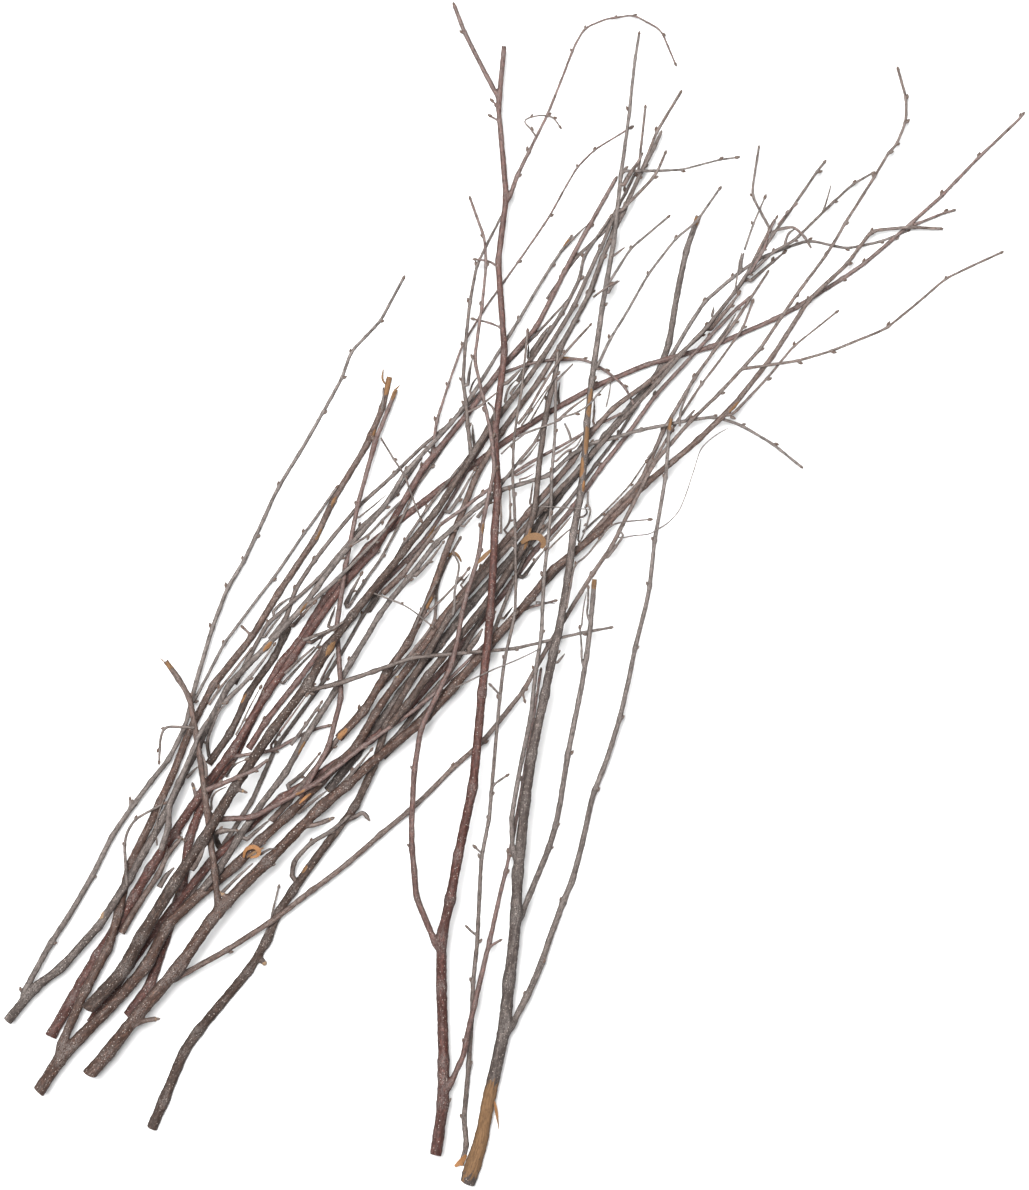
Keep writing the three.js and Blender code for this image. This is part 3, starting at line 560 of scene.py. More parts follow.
def turns_of(stations):
    """Corners of a course that turn enough to be seen, and the way to the outer side of each."""
    turns = []
    for before, here, after in zip(stations, stations[1:], stations[2:]):
        a, b = here - before, after - here
        a, b = a / np.linalg.norm(a), b / np.linalg.norm(b)
        out = a - b
        out[2] = 0.0
        if np.linalg.norm(out) > LEAST_TURN:
            turns.append((here, out / np.linalg.norm(out)))
    return turns


def branch_start(parent, first, second, radius):
    """Index on the parent's line where a branch leaves it, and the elbow before its own course."""
    way = (second - first) / np.linalg.norm(second - first)
    apart = np.linalg.norm(parent.line - first, axis=1)
    near = int(np.argmin(apart))
    aim = 0.9 * parent.radii[near] + 0.2 * radius  # the elbow lies just under the parent's bark
    slope = np.linalg.norm(way - parent.ahead[near] * way.dot(parent.ahead[near]))
    back = min(max(apart[near] - aim, 0.0) / max(slope, FORK_SLOPE), FORK_REACH)
    elbow = first - way * back
    apart = np.linalg.norm(parent.line - elbow, axis=1)
    near = int(np.argmin(apart))
    foot = max(parent.along[near] - apart[near] / math.tan(FORK_ANGLE), FIRST_FORK)
    return int(np.argmin(np.abs(parent.along - foot))), elbow


def bend_at_nodes(course, rng, form):
    """Swings the line to and fro between its buds, as a shoot changes direction at each leaf."""
    if len(course.nodes) < 2:
        return
    keys = [0.0] + [course.along[i] for i, _ in course.nodes] + [course.length]
    thin = min(1.0, BENDY / course.radii.mean()) * 0.6 + 0.4
    swing = [(-1) ** k * form.node_bend * thin * rng.uniform(0.4, 1.2)
             for k in range(len(course.nodes))]
    if course.parent:
        swing[0] *= 0.4
    offset = np.interp(course.along, keys, [0.0, *swing, 0.0])
    offset = np.convolve(np.pad(offset, 1, mode="edge"), np.ones(3) / 3, mode="valid")
    rise = [rng.uniform(-0.2, 0.2) * form.node_bend for _ in swing]
    lift = np.interp(course.along, keys, [0.0, *rise, 0.0])
    course.line = course.line + course.side * offset[:, None] + course.over * lift[:, None]
    course.measure()


def set_nodes(course, rng, form):
    """Chooses where buds sit: known places, the outer sides of turns, then at the usual spacing."""
    known = []
    for x, y in BUDS.get(course.name, []):
        i = course.nearest(x * MM, y * MM)
        out = np.array([x * MM, y * MM, course.line[i, 2]]) - course.line[i]
        known.append((i, out / max(np.linalg.norm(out), 1e-9)))
    taken = [course.along[i] for i, _ in known]
    for place, out in course.turns:
        i = course.nearest(*place[:2])
        if all(abs(course.along[i] - other) > TURN_CLEAR * form.node_gap for other in taken):
            known.append((i, out))
            taken.append(course.along[i])
    at = form.node_gap * rng.uniform(*FIRST_BUD)
    hand = rng.choice((-1, 1))
    while at < course.length - BUD_MARGIN:
        if all(abs(at - other) > BUD_CLEAR * form.node_gap for other in taken):
            i = int(np.searchsorted(course.along, at))
            turn = rng.gauss(0, BUD_TURN)
            way = hand * math.cos(turn) * course.side[i] + math.sin(turn) * course.over[i]
            known.append((i, way))
        hand = -hand
        at += form.node_gap * rng.uniform(*NEXT_BUD)
    course.nodes = sorted(known, key=lambda node: node[0])


def bell(x):
    """A smooth bump that is 1 at 0 and fades to either side."""
    return np.exp(-(x**2))


def swell(course, rng, form):
    """Thickens a limb at its buds and forks, flares its start, and roughens its outline."""
    along = course.along
    gain = np.ones(len(along))
    for i, _ in course.nodes:
        reach = max(BUD_BULGE * course.radii[i], LEAST_BULGE)
        peak = form.node_swell * rng.uniform(0.6, 1.3) * min(1.0, FULL_BULGE / course.radii[i])
        bump = bell((along - along[i]) / reach)
        gain += peak * bump
        course.knots = np.maximum(course.knots, bump * 0.8)
    for i in course.forks:
        reach = FORK_BULGE * course.radii[i]
        bump = bell((along - along[i] - reach * 0.7) / reach)
        gain += FORK_SWELL * bump
        course.knots = np.maximum(course.knots, bump)
    if course.parent:
        reach = 2.4 * course.radii[0] + course.parent.radii[course.fork]
        gain += FLARE * bell(along / reach)
        course.knots = np.maximum(course.knots, bell(along / (1.5 * reach)))
    for limb, (x, y), half, more in KNOBS:
        if limb == course.name:
            middle = along[course.nearest(x * MM, y * MM)]
            gain += more * bell((along - middle) / (half * MM))
    for wave in WAVES:
        gain += WAVE_HEIGHT * np.sin(along / wave * math.tau + rng.uniform(0, math.tau))
    slim = 1 - THIN_LOSS + THIN_LOSS * smoothstep(THIN, STURDY, course.radii / MM)
    start = bell(along / FULL_WAY) if course.parent else 0.0
    slim = slim * (start + (1 - start) * SLIM.get(course.name, 1.0))
    course.radii = course.radii * gain * slim
    if course.parent:
        most = BRANCH_SHARE * course.parent.radii[course.fork]
        course.radii = np.minimum(course.radii, np.maximum(most, course.radii[-1]))


COURSES = {}


def twig_of(name):
    """The name of the twig that a limb is part of."""
    return name[:len("twig_00")]


def limbs_by_twig():
    """Each twig's name and the courses of its limbs, the stem first."""
    for twig in sorted({twig_of(name) for name in COURSES}):
        yield twig, [course for course in COURSES.values() if twig_of(course.name) == twig]


def read_courses(form):
    """Fills COURSES with the middle line of every limb, each after the limb that it grows on."""
    for name in sorted(frame["nodes"], key=lambda n: (twig_of(n), "stem" not in n, n)):
        rng = random.Random(f"course {name}")
        stations, radii = solid_stations(frame["nodes"][name])
        kin = [c for c in COURSES.values() if twig_of(c.name) == twig_of(name)]
        parent = min(kin, default=None,
                     key=lambda c: np.linalg.norm(c.line - stations[0], axis=1).min())
        if parent:
            fork, elbow = branch_start(parent, stations[0], stations[1], radii[0])
            ahead = [elbow] if np.linalg.norm(elbow - stations[0]) > form.ring_step else []
            stations = np.vstack([parent.line[fork], *ahead, stations])
            radii = np.concatenate([radii[:1]] * (1 + len(ahead)) + [radii])
        course = Course(name, *rounded_line(stations, radii, form.ring_step))
        course.turns = turns_of(stations)
        if parent:
            course.parent = parent
            course.fork = fork
            parent.forks.append(fork)
        set_nodes(course, rng, form)
        bend_at_nodes(course, rng, form)
        course.phase = rng.uniform(1, 9)
        COURSES[name] = course
    for course in COURSES.values():
        if course.parent:  # the parent's own bends have moved the fork a little
            move = course.parent.line[course.fork] - course.line[0]
            course.line = course.line + bell(course.along / FORK_FADE)[:, None] * move
            course.measure()
        swell(course, random.Random(f"swell {course.name}"), form)
    add_stubs(form)


def add_stubs(form):
    """Adds the short side stubs to COURSES, each starting inside the limb that it grew from."""
    for k, (host, way, thick, thin) in enumerate(STUBS):
        parent = COURSES[host]
        x, y = way[0]
        near = parent.nearest(x * MM, y * MM)
        fork = max(near - 2, 1)
        start = parent.line[fork]
        rise = np.linspace(0, STUB_RISE, len(way)) * thick * MM
        points = np.array([(x * MM, y * MM, parent.line[near, 2] + up)
                           for (x, y), up in zip(way, rise)])
        points = points[np.linalg.norm(points - start, axis=1) > 0.5 * parent.radii[near]]
        points = np.vstack([start, points])
        radii = np.linspace(thick, thin, len(points)) * MM
        line, radii = rounded_line(points, radii, form.ring_step * 0.5)
        course = Course(f"{host}_stub_{k}", line, radii)
        course.parent = parent
        course.fork = fork
        course.phase = 1.0 + k
        flare = bell(course.along / (1.5 * parent.radii[near]))
        most = STUB_SHARE * parent.radii[near]
        course.radii = np.minimum(course.radii * (1 + STUB_FLARE * flare), most)
        course.radii[-1] *= 0.8
        course.knots = flare
        COURSES[course.name] = course


def top_at(line, radii):
    """Least heights at which a fine shoot lies on the floor and on every limb under it."""
    least = radii.copy()
    for course in COURSES.values():
        gap = line[:, None, :2] - course.line[None, :, :2]
        near = np.hypot(gap[..., 0], gap[..., 1])
        reach = course.radii[None] + radii[:, None] + FLOAT
        lift = np.sqrt(np.maximum(reach**2 - near**2, 0.0))
        height = np.where(near < reach, course.line[:, 2][None] + lift, 0.0)
        least = np.maximum(least, height.max(axis=1))
    return least


# --- Building tools ---

RIM = 0.16  # width of the bark's rim round a cut, as a share of the limb's radius
DISH = 0.15  # how deep the wood of a cut lies under its rim, in the rim's widths
SLANT = (0.05, 0.35)  # range of a butt's slant: how far it slides along for each metre across
SLANT_REACH = 4.5  # how far along a stem its slanting cut reaches, in radii
CROTCH = 1.3  # how far from its foot a branch's crotch lies, in its stem's radii
CROTCH_REACH = 1.7  # how far round the crotch the crease is softened, in the same radii
CROTCH_ROUNDS = 4
CREASE = math.radians(40)  # an edge sharper than this stays sharp
FLOOR_AIR = 0.02 * MM
STOUT = 1.3 * MM  # a branch of less than this mean radius has two corners fewer round it
LUMP_SIZE = 0.0035  # m across one of the uneven swells in the bark
ALL_ROUND = 0.6  # a bare place that goes further round than this goes all round
BUTT_REACH = 2.5  # how far along a stem wood can count as its cut, in radii


def only(*objects):
    """Selects just these objects and makes the first active."""
    bpy.ops.object.select_all(action="DESELECT")
    for item in objects:
        item.select_set(True)
    bpy.context.view_layer.objects.active = objects[0]


@contextmanager
def editing(piece, pick="VERT"):
    """Edit mode on one piece, with corners or faces to pick."""
    only(piece)
    bpy.ops.object.mode_set(mode="EDIT")
    bpy.ops.mesh.select_mode(type=pick)
    yield
    bpy.ops.object.mode_set(mode="OBJECT")


def face_out(piece):
    """Turns every face of a closed piece outwards."""
    with editing(piece):
        bpy.ops.mesh.select_all(action="SELECT")
        bpy.ops.mesh.normals_make_consistent(inside=False)


def drawn(name, line, radii, tilt, **settings):
    """A curve along a line, turned into a mesh: a tube if it is bevelled, a ribbon if extruded."""
    data = bpy.data.curves.new(name, "CURVE")
    data.dimensions = "3D"
    for key, value in settings.items():
        setattr(data, key, value)
    spline = data.splines.new("POLY")
    spline.points.add(len(line) - 1)
    spline.points.foreach_set("co", np.column_stack([line, np.ones(len(line))]).ravel())
    spline.points.foreach_set("radius", radii)
    spline.points.foreach_set("tilt", tilt)
    piece = bpy.data.objects.new(name, data)
    bpy.context.scene.collection.objects.link(piece)
    only(piece)
    bpy.ops.object.convert(target="MESH")
    return piece


def grown_tube(course, sides):
    """A closed round tube along a course, with a rim of bark round the wood of each cut."""
    piece = drawn(course.name, course.line, course.radii, np.zeros(len(course.line)),
                  bevel_depth=1.0, bevel_resolution=(sides - 4) // 2)
    with editing(piece):
        bpy.ops.mesh.select_all(action="SELECT")
        bpy.ops.mesh.remove_doubles(threshold=MERGE)
        bpy.ops.mesh.select_all(action="DESELECT")
        bpy.ops.mesh.select_non_manifold()
        bpy.ops.mesh.fill_holes(sides=0)
    for polygon in piece.data.polygons:
        polygon.select = len(polygon.vertices) > 4
    rim = RIM * float(min(course.radii[0], course.radii[-1]))
    with editing(piece, "FACE"):
        bpy.ops.mesh.inset(thickness=rim, depth=-DISH * rim)
        bpy.ops.mesh.poke()
    face_out(piece)
    return piece


def positions(mesh):
    """The places of a mesh's corners, one a row."""
    co = np.empty(len(mesh.vertices) * 3)
    mesh.vertices.foreach_get("co", co)
    return co.reshape(-1, 3)


def set_positions(mesh, co):
    mesh.vertices.foreach_set("co", np.ascontiguousarray(co).ravel())
    mesh.update()


def shear_end(piece, course, slope, turn):
    """Cuts the thick end at a slant: corners near it slide along the limb, more at one side."""
    co = positions(piece.data)
    start, ahead = course.line[0], course.ahead[0]
    across = math.cos(turn) * course.side[0] + math.sin(turn) * course.over[0]
    reach = SLANT_REACH * course.radii[0]
    along = (co - start) @ ahead
    near = (np.linalg.norm(co - start, axis=1) < 2 * reach) & (along < reach)
    fade = np.clip(1 - np.maximum(along, 0) / reach, 0, 1) ** 2
    slide = slope * ((co - start) @ across) * fade
    co[near] += (slide[:, None] * ahead)[near]
    set_positions(piece.data, co)


def apply_boolean_union(piece, branch):
    """Joins a branch to the piece as one closed skin and removes the branch."""
    only(piece)
    union = piece.modifiers.new("fork", "BOOLEAN")
    union.operation = "UNION"
    union.solver = "MANIFOLD"
    union.object = branch
    before = len(piece.data.vertices)
    bpy.ops.object.modifier_apply(modifier=union.name)
    if len(piece.data.vertices) <= before:
        raise RuntimeError(f"{branch.name} didn't join {piece.name}")
    bpy.data.objects.remove(branch)


def soften(piece, centre, reach, times):
    """Rounds the crease where two limbs meet."""
    near = np.linalg.norm(positions(piece.data) - centre, axis=1) < reach
    with editing(piece):
        bpy.ops.mesh.select_all(action="DESELECT")
    piece.data.vertices.foreach_set("select", near)
    with editing(piece):
        bpy.ops.mesh.vertices_smooth(factor=0.5, repeat=times)


def lump(piece, height, size):
    """Uneven swells in the bark, from a procedural cloud."""
    cloud = bpy.data.textures.new("bark lumps", "CLOUDS")
    cloud.noise_scale = size
    displace = piece.modifiers.new("lumps", "DISPLACE")
    displace.texture = cloud
    displace.texture_coords = "LOCAL"
    displace.strength = height
    displace.mid_level = 0.5
    only(piece)
    bpy.ops.object.modifier_apply(modifier=displace.name)


def put(mesh, name, values):
    """Writes one number or one vector for each corner."""
    kind, key = ("FLOAT_VECTOR", "vector") if values.ndim > 1 else ("FLOAT", "value")
    attribute = mesh.attributes.new(name, kind, "POINT")
    attribute.data.foreach_set(key, np.asarray(values, np.float32).ravel())


def smoothstep(low, high, x):
    """0 at low, 1 at high, smooth between; low may be the greater."""
    t = np.clip((x - low) / (high - low), 0, 1)
    return t * t * (3 - 2 * t)


def dot(a, b):
    """The dot product of each row of a with the same row of b."""
    return np.einsum("ij,ij->i", a, b)


def bare_places(course, radius, s, x, top):
    """How bare the corners at these places are, and how orange the wood is there."""
    bare, orange = np.zeros((2, len(s)))
    for name, (px, py), half, tone, round_way in BARE:
        if name != course.name:
            continue
        near = course.nearest(px * MM, py * MM)
        middle = course.line[near]
        aside = (np.array([px * MM, py * MM, middle[2]]) - middle) @ course.side[near]
        aside = float(np.clip(aside, -0.6 * course.radii[near], 0.6 * course.radii[near]))
        lengthwise = (s - course.along[near]) / (half * MM)
        all_round = round_way > ALL_ROUND
        across = 0.0 if all_round else (x - aside) / (radius * (0.3 + round_way))
        cover = smoothstep(1.3, 0.55, np.hypot(lengthwise, across))
        cover = cover * (1.0 if all_round else smoothstep(-0.1, 0.2, top))
        orange = np.where(cover > bare, tone, orange)
        bare = np.maximum(bare, cover)
    return bare, orange


def mark(piece, courses):
    """Writes what the finishes read: place in the straight wood, bare wood, cuts, knots, girth, and
    the height round the limb from which the bark paints shade on its sides.
    """
    co = positions(piece.data)
    owner = [(k, i) for k, course in enumerate(courses) for i in range(len(course.line))]
    tree = KDTree(len(owner))
    for n, (k, i) in enumerate(owner):
        tree.insert(courses[k].line[i], n)
    tree.balance()
    thickness = [courses[k].radii[i] for k, i in owner]
    best = np.array([owner[min(tree.find_n(place, 4), key=lambda f: f[2] / thickness[f[1]])[1]]
                     for place in co])
    wood = np.zeros((len(co), 3))
    bare, orange, cut, knot, girth, crest = np.zeros((6, len(co)))
    for k, course in enumerate(courses):
        mine = best[:, 0] == k
        i = best[mine, 1]
        off = co[mine] - course.line[i]
        x, y = dot(off, course.side[i]), dot(off, course.over[i])
        s = course.along[i] + dot(off, course.ahead[i])
        radius = course.radii[i]
        top = off[:, 2] / radius
        at_start = (s < BUTT_REACH * radius) & (course.parent is None)
        at_end = s > course.length - radius
        wood[mine] = np.column_stack([x + course.phase, y, s + course.phase])
        cut[mine] = smoothstep(0.9, 0.8, np.hypot(x, y) / radius) * (at_start | at_end)
        knot[mine] = course.knots[i]
        girth[mine] = radius / MM
        # Height round the limb, 1 on top and 0 at its sides; the bark reads it to paint shade on
        # the sides.
        crest[mine] = top
        bare[mine], orange[mine] = bare_places(course, radius, s, x, top)
    for name, values in (("wood", wood), ("bare", bare), ("orange", orange), ("cut", cut),
                         ("knot", knot), ("girth", girth), ("crest", crest)):
        put(piece.data, name, values)


def bark_of(node):
    """The kind of bark that the record gives a solid limb."""
    slots = {row["node"]: row["material_slot"] for row in frame["record"]["subparts"]}
    return slots[node].removeprefix("bark_")


def finish_piece(piece, bark, *nodes, material=None):
    """Keeps a finished piece off the floor, shades and colours it, and hands it over."""
    co = positions(piece.data)
    co[:, 2] = np.maximum(co[:, 2], FLOOR_AIR)
    set_positions(piece.data, co)
    only(piece)
    bpy.ops.object.shade_smooth_by_angle(angle=CREASE)
    piece.data.materials.clear()
    piece.data.materials.append(bpy.data.materials[material or f"bark {bark}"])
    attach(piece, BODY)
    if nodes:
        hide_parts(*nodes)


# --- Buds, fine shoots and torn strips ---

SHOOT_SIDES = 10
SHOOT_TIP = (0.97, 0.9, 0.75)  # how a fine shoot's last three rings narrow
# How a NEAREST shoot narrows: shares of its length, and of its radius there.
TAPER = ((0.0, 0.6, 1.0), (1.0, 0.85, 0.5))
LIMB_REACH = 7 * MM  # how far a NEAREST shoot looks for the limb that it grows on
SHOOT_SAG = 0.35  # m, radius that a fine shoot's sag follows between what carries it
SHOOT_RISE = 0.014  # m along a fine shoot over which it rises from its limb's middle
BUDLESS = 0.5  # fine shoots thinner than this radius, in millimetres, carry no buds
SHORT = 28 * MM  # a fine shoot shorter than this carries no buds
BUD_LEAN = math.radians(24)  # angle between a bud and its limb
FINE_LIMB = 0.9 * MM  # a limb of less than this radius has smaller buds
BUD_REACH = 6 * MM  # most distance between a known bud's tip and its limb's middle
OLD_WOOD = 1.7  # limbs thicker than this radius, in millimetres, have lost most of their buds
BUDS_LOST = 0.75  # share of the buds that old wood has lost
END_BUD = 1.25  # limbs that end thinner than this radius, in millimetres, carry a bud at the tip
CURL_REACH = 9 * MM  # how far from its corners a torn strip starts to turn
STRIP_STEP = 0.7 * MM
STRIP_WALL = 0.3 * MM
STRIP_TILT = (0.9, 1.9)  # radians, how a torn strip is turned about its line at its two ends
FRESH = 0.6  # a torn strip more orange than this is fresh


def bud_model(length):
    """A pointed winter bud on the origin: a drawn-out sphere, narrowed towards its top."""
    bpy.ops.object.select_all(action="DESELECT")
    bpy.ops.mesh.primitive_uv_sphere_add(
        segments=7, ring_count=7, radius=length / 2, location=(0, 0, length * 0.36))
    model = bpy.context.view_layer.objects.active
    bpy.ops.object.transform_apply(location=True)
    with editing(model):
        bpy.ops.transform.resize(value=(0.6, 0.6, 1.0), center_override=(0, 0, 0))
    for level, narrow, lift in ((0.5, 0.92, 0.02), (0.68, 0.88, 0.03)):
        above = positions(model.data)[:, 2] > level * length
        for group in (model.data.vertices, model.data.edges, model.data.polygons):
            group.foreach_set("select", np.zeros(len(group), bool))
        model.data.vertices.foreach_set("select", above)
        with editing(model):
            bpy.ops.transform.resize(value=(narrow, narrow, 1.0), center_override=(0, 0, 0))
            bpy.ops.transform.translate(value=(0, 0, lift * length))
    return model


def bud_places(course, rng):
    """Where buds stand on a limb: place, direction and size. Thick old wood keeps few of them."""
    places = []
    for i, out in course.nodes:
        radius = course.radii[i]
        known = any(math.hypot(x * MM - course.line[i, 0], y * MM - course.line[i, 1]) < BUD_REACH
                    for x, y in BUDS.get(course.name, []))
        if radius > OLD_WOOD * MM and not known and rng.random() < BUDS_LOST:
            continue
        out = out - course.ahead[i] * out.dot(course.ahead[i])
        out = out / np.linalg.norm(out)
        lean = BUD_LEAN * rng.uniform(0.6, 1.5)
        way = course.ahead[i] * math.cos(lean) + out * math.sin(lean)
        size = rng.uniform(0.7, 1.1) * (0.85 if radius < FINE_LIMB else 1.0)
        places.append((course.line[i] + out * radius * 0.7, way, out, size))
    if course.radii[-1] < END_BUD * MM:
        tip = course.line[-1] - course.ahead[-1] * 0.5 * MM
        places.append((tip, course.ahead[-1], course.side[-1], rng.uniform(0.85, 1.1)))
    return places


def hand_over_buds(model, places, name, bark):
    """Copies the bud to every place, joins the copies into one piece and hands it over."""
    copies = []
    for place, way, out, size in places:
        bud = bpy.data.objects.new(name, model.data.copy())
        bpy.context.scene.collection.objects.link(bud)
        third = np.cross(way, out)
        third = third / np.linalg.norm(third)
        turn = Matrix((np.cross(third, way), third, way)).transposed().to_4x4()
        bud.data.transform(Matrix.Translation(place) @ turn @ Matrix.Scale(size, 4))
        copies.append(bud)
    if not copies:
        return
    only(*copies)
    bpy.ops.object.join()
    piece = bpy.context.view_layer.objects.active
    face_out(piece)
    piece.name = name
    finish_piece(piece, bark, material="bud scales")


def limb_near(place, reach):
    """Name of the limb nearest to a place, seen from above, or None if all are past the reach."""
    apart = {name: np.hypot(*(course.line[:, :2] - place).T).min()
             for name, course in COURSES.items()}
    name = min(apart, key=apart.get)
    return name if apart[name] < reach else None


def shoot_course(name, host, way, thickness, form):
    """A fine shoot's line: it lies on what is under it and starts inside its host if it has one."""
    rng = random.Random(f"shoot {name}")
    flat = np.array([(x * MM, y * MM, 0.0) for x, y in way])
    line, _ = rounded_line(flat, np.ones(len(flat)), form.ring_step * 0.75)
    radii = np.interp(np.linspace(0, 1, len(line)), (0, 1), thickness) * MM
    run = length_along(line)
    apart = run[:, None] - run[None]
    height = (top_at(line, radii)[None] - apart**2 / (2 * SHOOT_SAG)).max(axis=1)
    if host == NEAREST:
        host = limb_near(line[0, :2], LIMB_REACH)
        radii = radii * np.interp(run / run[-1], *TAPER)
    if host:
        course = COURSES[host]
        i = course.nearest(*line[0, :2])
        line[0, :2] = course.line[i, :2]
        height = course.line[i, 2] + (height - course.line[i, 2]) * smoothstep(0.0, SHOOT_RISE, run)
        height = np.maximum(height, radii)
    line[:, 2] = height
    course = Course(name, line, radii)
    course.turns = turns_of(flat)
    set_nodes(course, rng, form)
    bend_at_nodes(course, rng, form)
    course.phase = rng.uniform(1, 9)
    swell(course, rng, form)
    course.radii[-3:] *= SHOOT_TIP
    return course


def torn_strip(name, host, way, width, orange):
    """A thin torn strip: a flat ribbon along its line, given a little thickness."""
    points = []
    for x, y, height in way:
        i = host.nearest(x * MM, y * MM)
        points.append((x * MM, y * MM, host.line[i, 2] + height * MM))
    points = np.array(points)
    line, _ = rounded_line(points, np.ones(len(points)), STRIP_STEP, CURL_REACH)
    line[:, 2] = np.maximum(line[:, 2], width * MM)
    taper = np.sin(np.linspace(0.35, math.pi - 0.25, len(line)))
    piece = drawn(name, line, 0.25 + 0.75 * taper, np.linspace(*STRIP_TILT, len(line)),
                  extrude=width / 2 * MM, twist_mode="Z_UP")
    wall = piece.modifiers.new("wall", "SOLIDIFY")
    wall.thickness = STRIP_WALL
    wall.offset = 0
    bpy.ops.object.modifier_apply(modifier=wall.name)
    face_out(piece)
    material = "torn orange" if orange > FRESH else "torn tan"
    finish_piece(piece, bark_of(host.name), material=material)


# --- Stage ---

FLOOR_DROP = 0.2 * MM  # how far the floor lies under the bundle
PAPER = {
    "Base Color": (0.7, 0.7, 0.7, 1), "Roughness": 0.9, "Specular IOR Level": 0.1,
    "Emission Color": (1, 1, 1, 1), "Emission Strength": 0.12,
}
LAMPS = (("softbox", (-0.5, 0.6, 4.2), 1.5), ("side lamp", (-2.4, 1.6, 1.6), 1.2))  # place and size
WALL_TOP = (0.06, 0.16)  # sines of the heights between which the wall fades into the ceiling
SENSOR = 36.0
FAR = 100.0  # m, how far the camera sees


def make_floor(stage):
    """A pale sheet that glows a little, so that it stays white under the shadows."""
    bpy.ops.object.select_all(action="DESELECT")
    bpy.ops.mesh.primitive_plane_add(size=stage.floor_size, location=(0, 0, -FLOOR_DROP))
    floor = bpy.context.view_layer.objects.active
    floor.name = "floor"
    paper = bpy.data.materials.new("white paper")
    paper.use_nodes = True
    for name, value in PAPER.items():
        paper.node_tree.nodes["Principled BSDF"].inputs[name].default_value = value
    floor.data.materials.append(paper)


def make_lights(stage):
    """A wide softbox overhead, a weak side lamp, and a room with walls paler than its ceiling."""
    for (name, place, size), share in zip(LAMPS, (1.0, stage.fill)):
        bpy.ops.object.light_add(type="AREA", location=place)
        lamp = bpy.context.view_layer.objects.active
        lamp.name = name
        lamp.data.size = size
        lamp.data.energy = stage.lamp * share
        lamp.rotation_euler = (-Vector(place)).to_track_quat("-Z", "Y").to_euler()
    world = bpy.data.worlds.new("room light")
    world.use_nodes = True
    nodes, links = world.node_tree.nodes, world.node_tree.links
    way = nodes.new("ShaderNodeTexCoord")
    split = nodes.new("ShaderNodeSeparateXYZ")
    height = nodes.new("ShaderNodeMapRange")
    for name, value in zip(("From Min", "From Max", "To Min", "To Max"),
                           (*WALL_TOP, stage.horizon, stage.sky)):
        height.inputs[name].default_value = value
    links.new(way.outputs["Generated"], split.inputs["Vector"])
    links.new(split.outputs["Z"], height.inputs["Value"])
    links.new(height.outputs["Result"], nodes["Background"].inputs["Strength"])
    nodes["Background"].inputs["Color"].default_value = (1, 1, 1, 1)
    bpy.context.scene.world = world
    bpy.context.scene.view_settings.view_transform = "Standard"


def make_camera(stage):
    """Looks straight down on the middle of the bundle, with the tips at the top of the picture."""
    height = stage.view_height * stage.lens / SENSOR + SOLID_BOX[1][2] / 3
    bpy.ops.object.camera_add(location=(0, 0, height), rotation=(0, 0, 0))
    camera = bpy.context.view_layer.objects.active
    camera.name = "camera"
    camera.data.lens = stage.lens
    camera.data.sensor_width = SENSOR
    camera.data.clip_end = FAR
    bpy.context.scene.camera = camera


# --- Finishes ---

# Sizes of the patterns in bark and wood: across and along the limb.
PATCHES = (6 * MM, 24 * MM)
MOTTLE = (1.3 * MM, 2.6 * MM)
SPECKLE = (0.6 * MM, 1.0 * MM)
GRAIN = (0.45 * MM, 7 * MM)
FILM = (3 * MM, 12 * MM)
STREAK = (0.5 * MM, 9 * MM)
FIBRE = (0.35 * MM, 2.5 * MM)
PORES = ((1.2 * MM, 0.27), (2.7 * MM, 0.16))  # size of a cell, and how much its pore takes up
PORE_LENGTH = 1.15  # cells are this much longer than wide
SCALE = (0.9 * MM, 0.9 * MM)
SCALE_EDGE = (0.3 * MM, 0.3 * MM)
TORN_FIBRE = (0.5 * MM, 0.5 * MM)
TORN_PATCH = (3 * MM, 3 * MM)
BUMP = 0.55
SPECULAR = 0.15
# For each bark: share of the grey film, share of the pale pores, and least roughness.
BARKS = {
    "red": (0.42, 0.75, 0.42),
    "brown": (0.6, 0.8, 0.5),
    "grey": (0.75, 0.8, 0.55),
    "dark": (0.5, 0.7, 0.52),
}


class Socket:
    """A number or colour inside a finish. Sums and products add the nodes that work them out."""

    def __init__(self, finish, link):
        self.finish = finish
        self.link = link

    def __add__(self, other):
        return self.finish.maths("ADD", self, other)

    def __sub__(self, other):
        return self.finish.maths("SUBTRACT", self, other)

    def __rsub__(self, other):
        return self.finish.maths("SUBTRACT", other, self)

    def __mul__(self, other):
        return self.finish.maths("MULTIPLY", self, other)

    __radd__ = __add__
    __rmul__ = __mul__

    def ramp(self, low, high):
        """0 below low, 1 above high, smooth between; low may be the greater."""
        flip = low > high
        return self.finish.node(
            "ShaderNodeMapRange", {"interpolation_type": "SMOOTHSTEP"},
            {"Value": self, "From Min": min(low, high), "From Max": max(low, high),
             "To Min": float(flip), "To Max": float(not flip)})


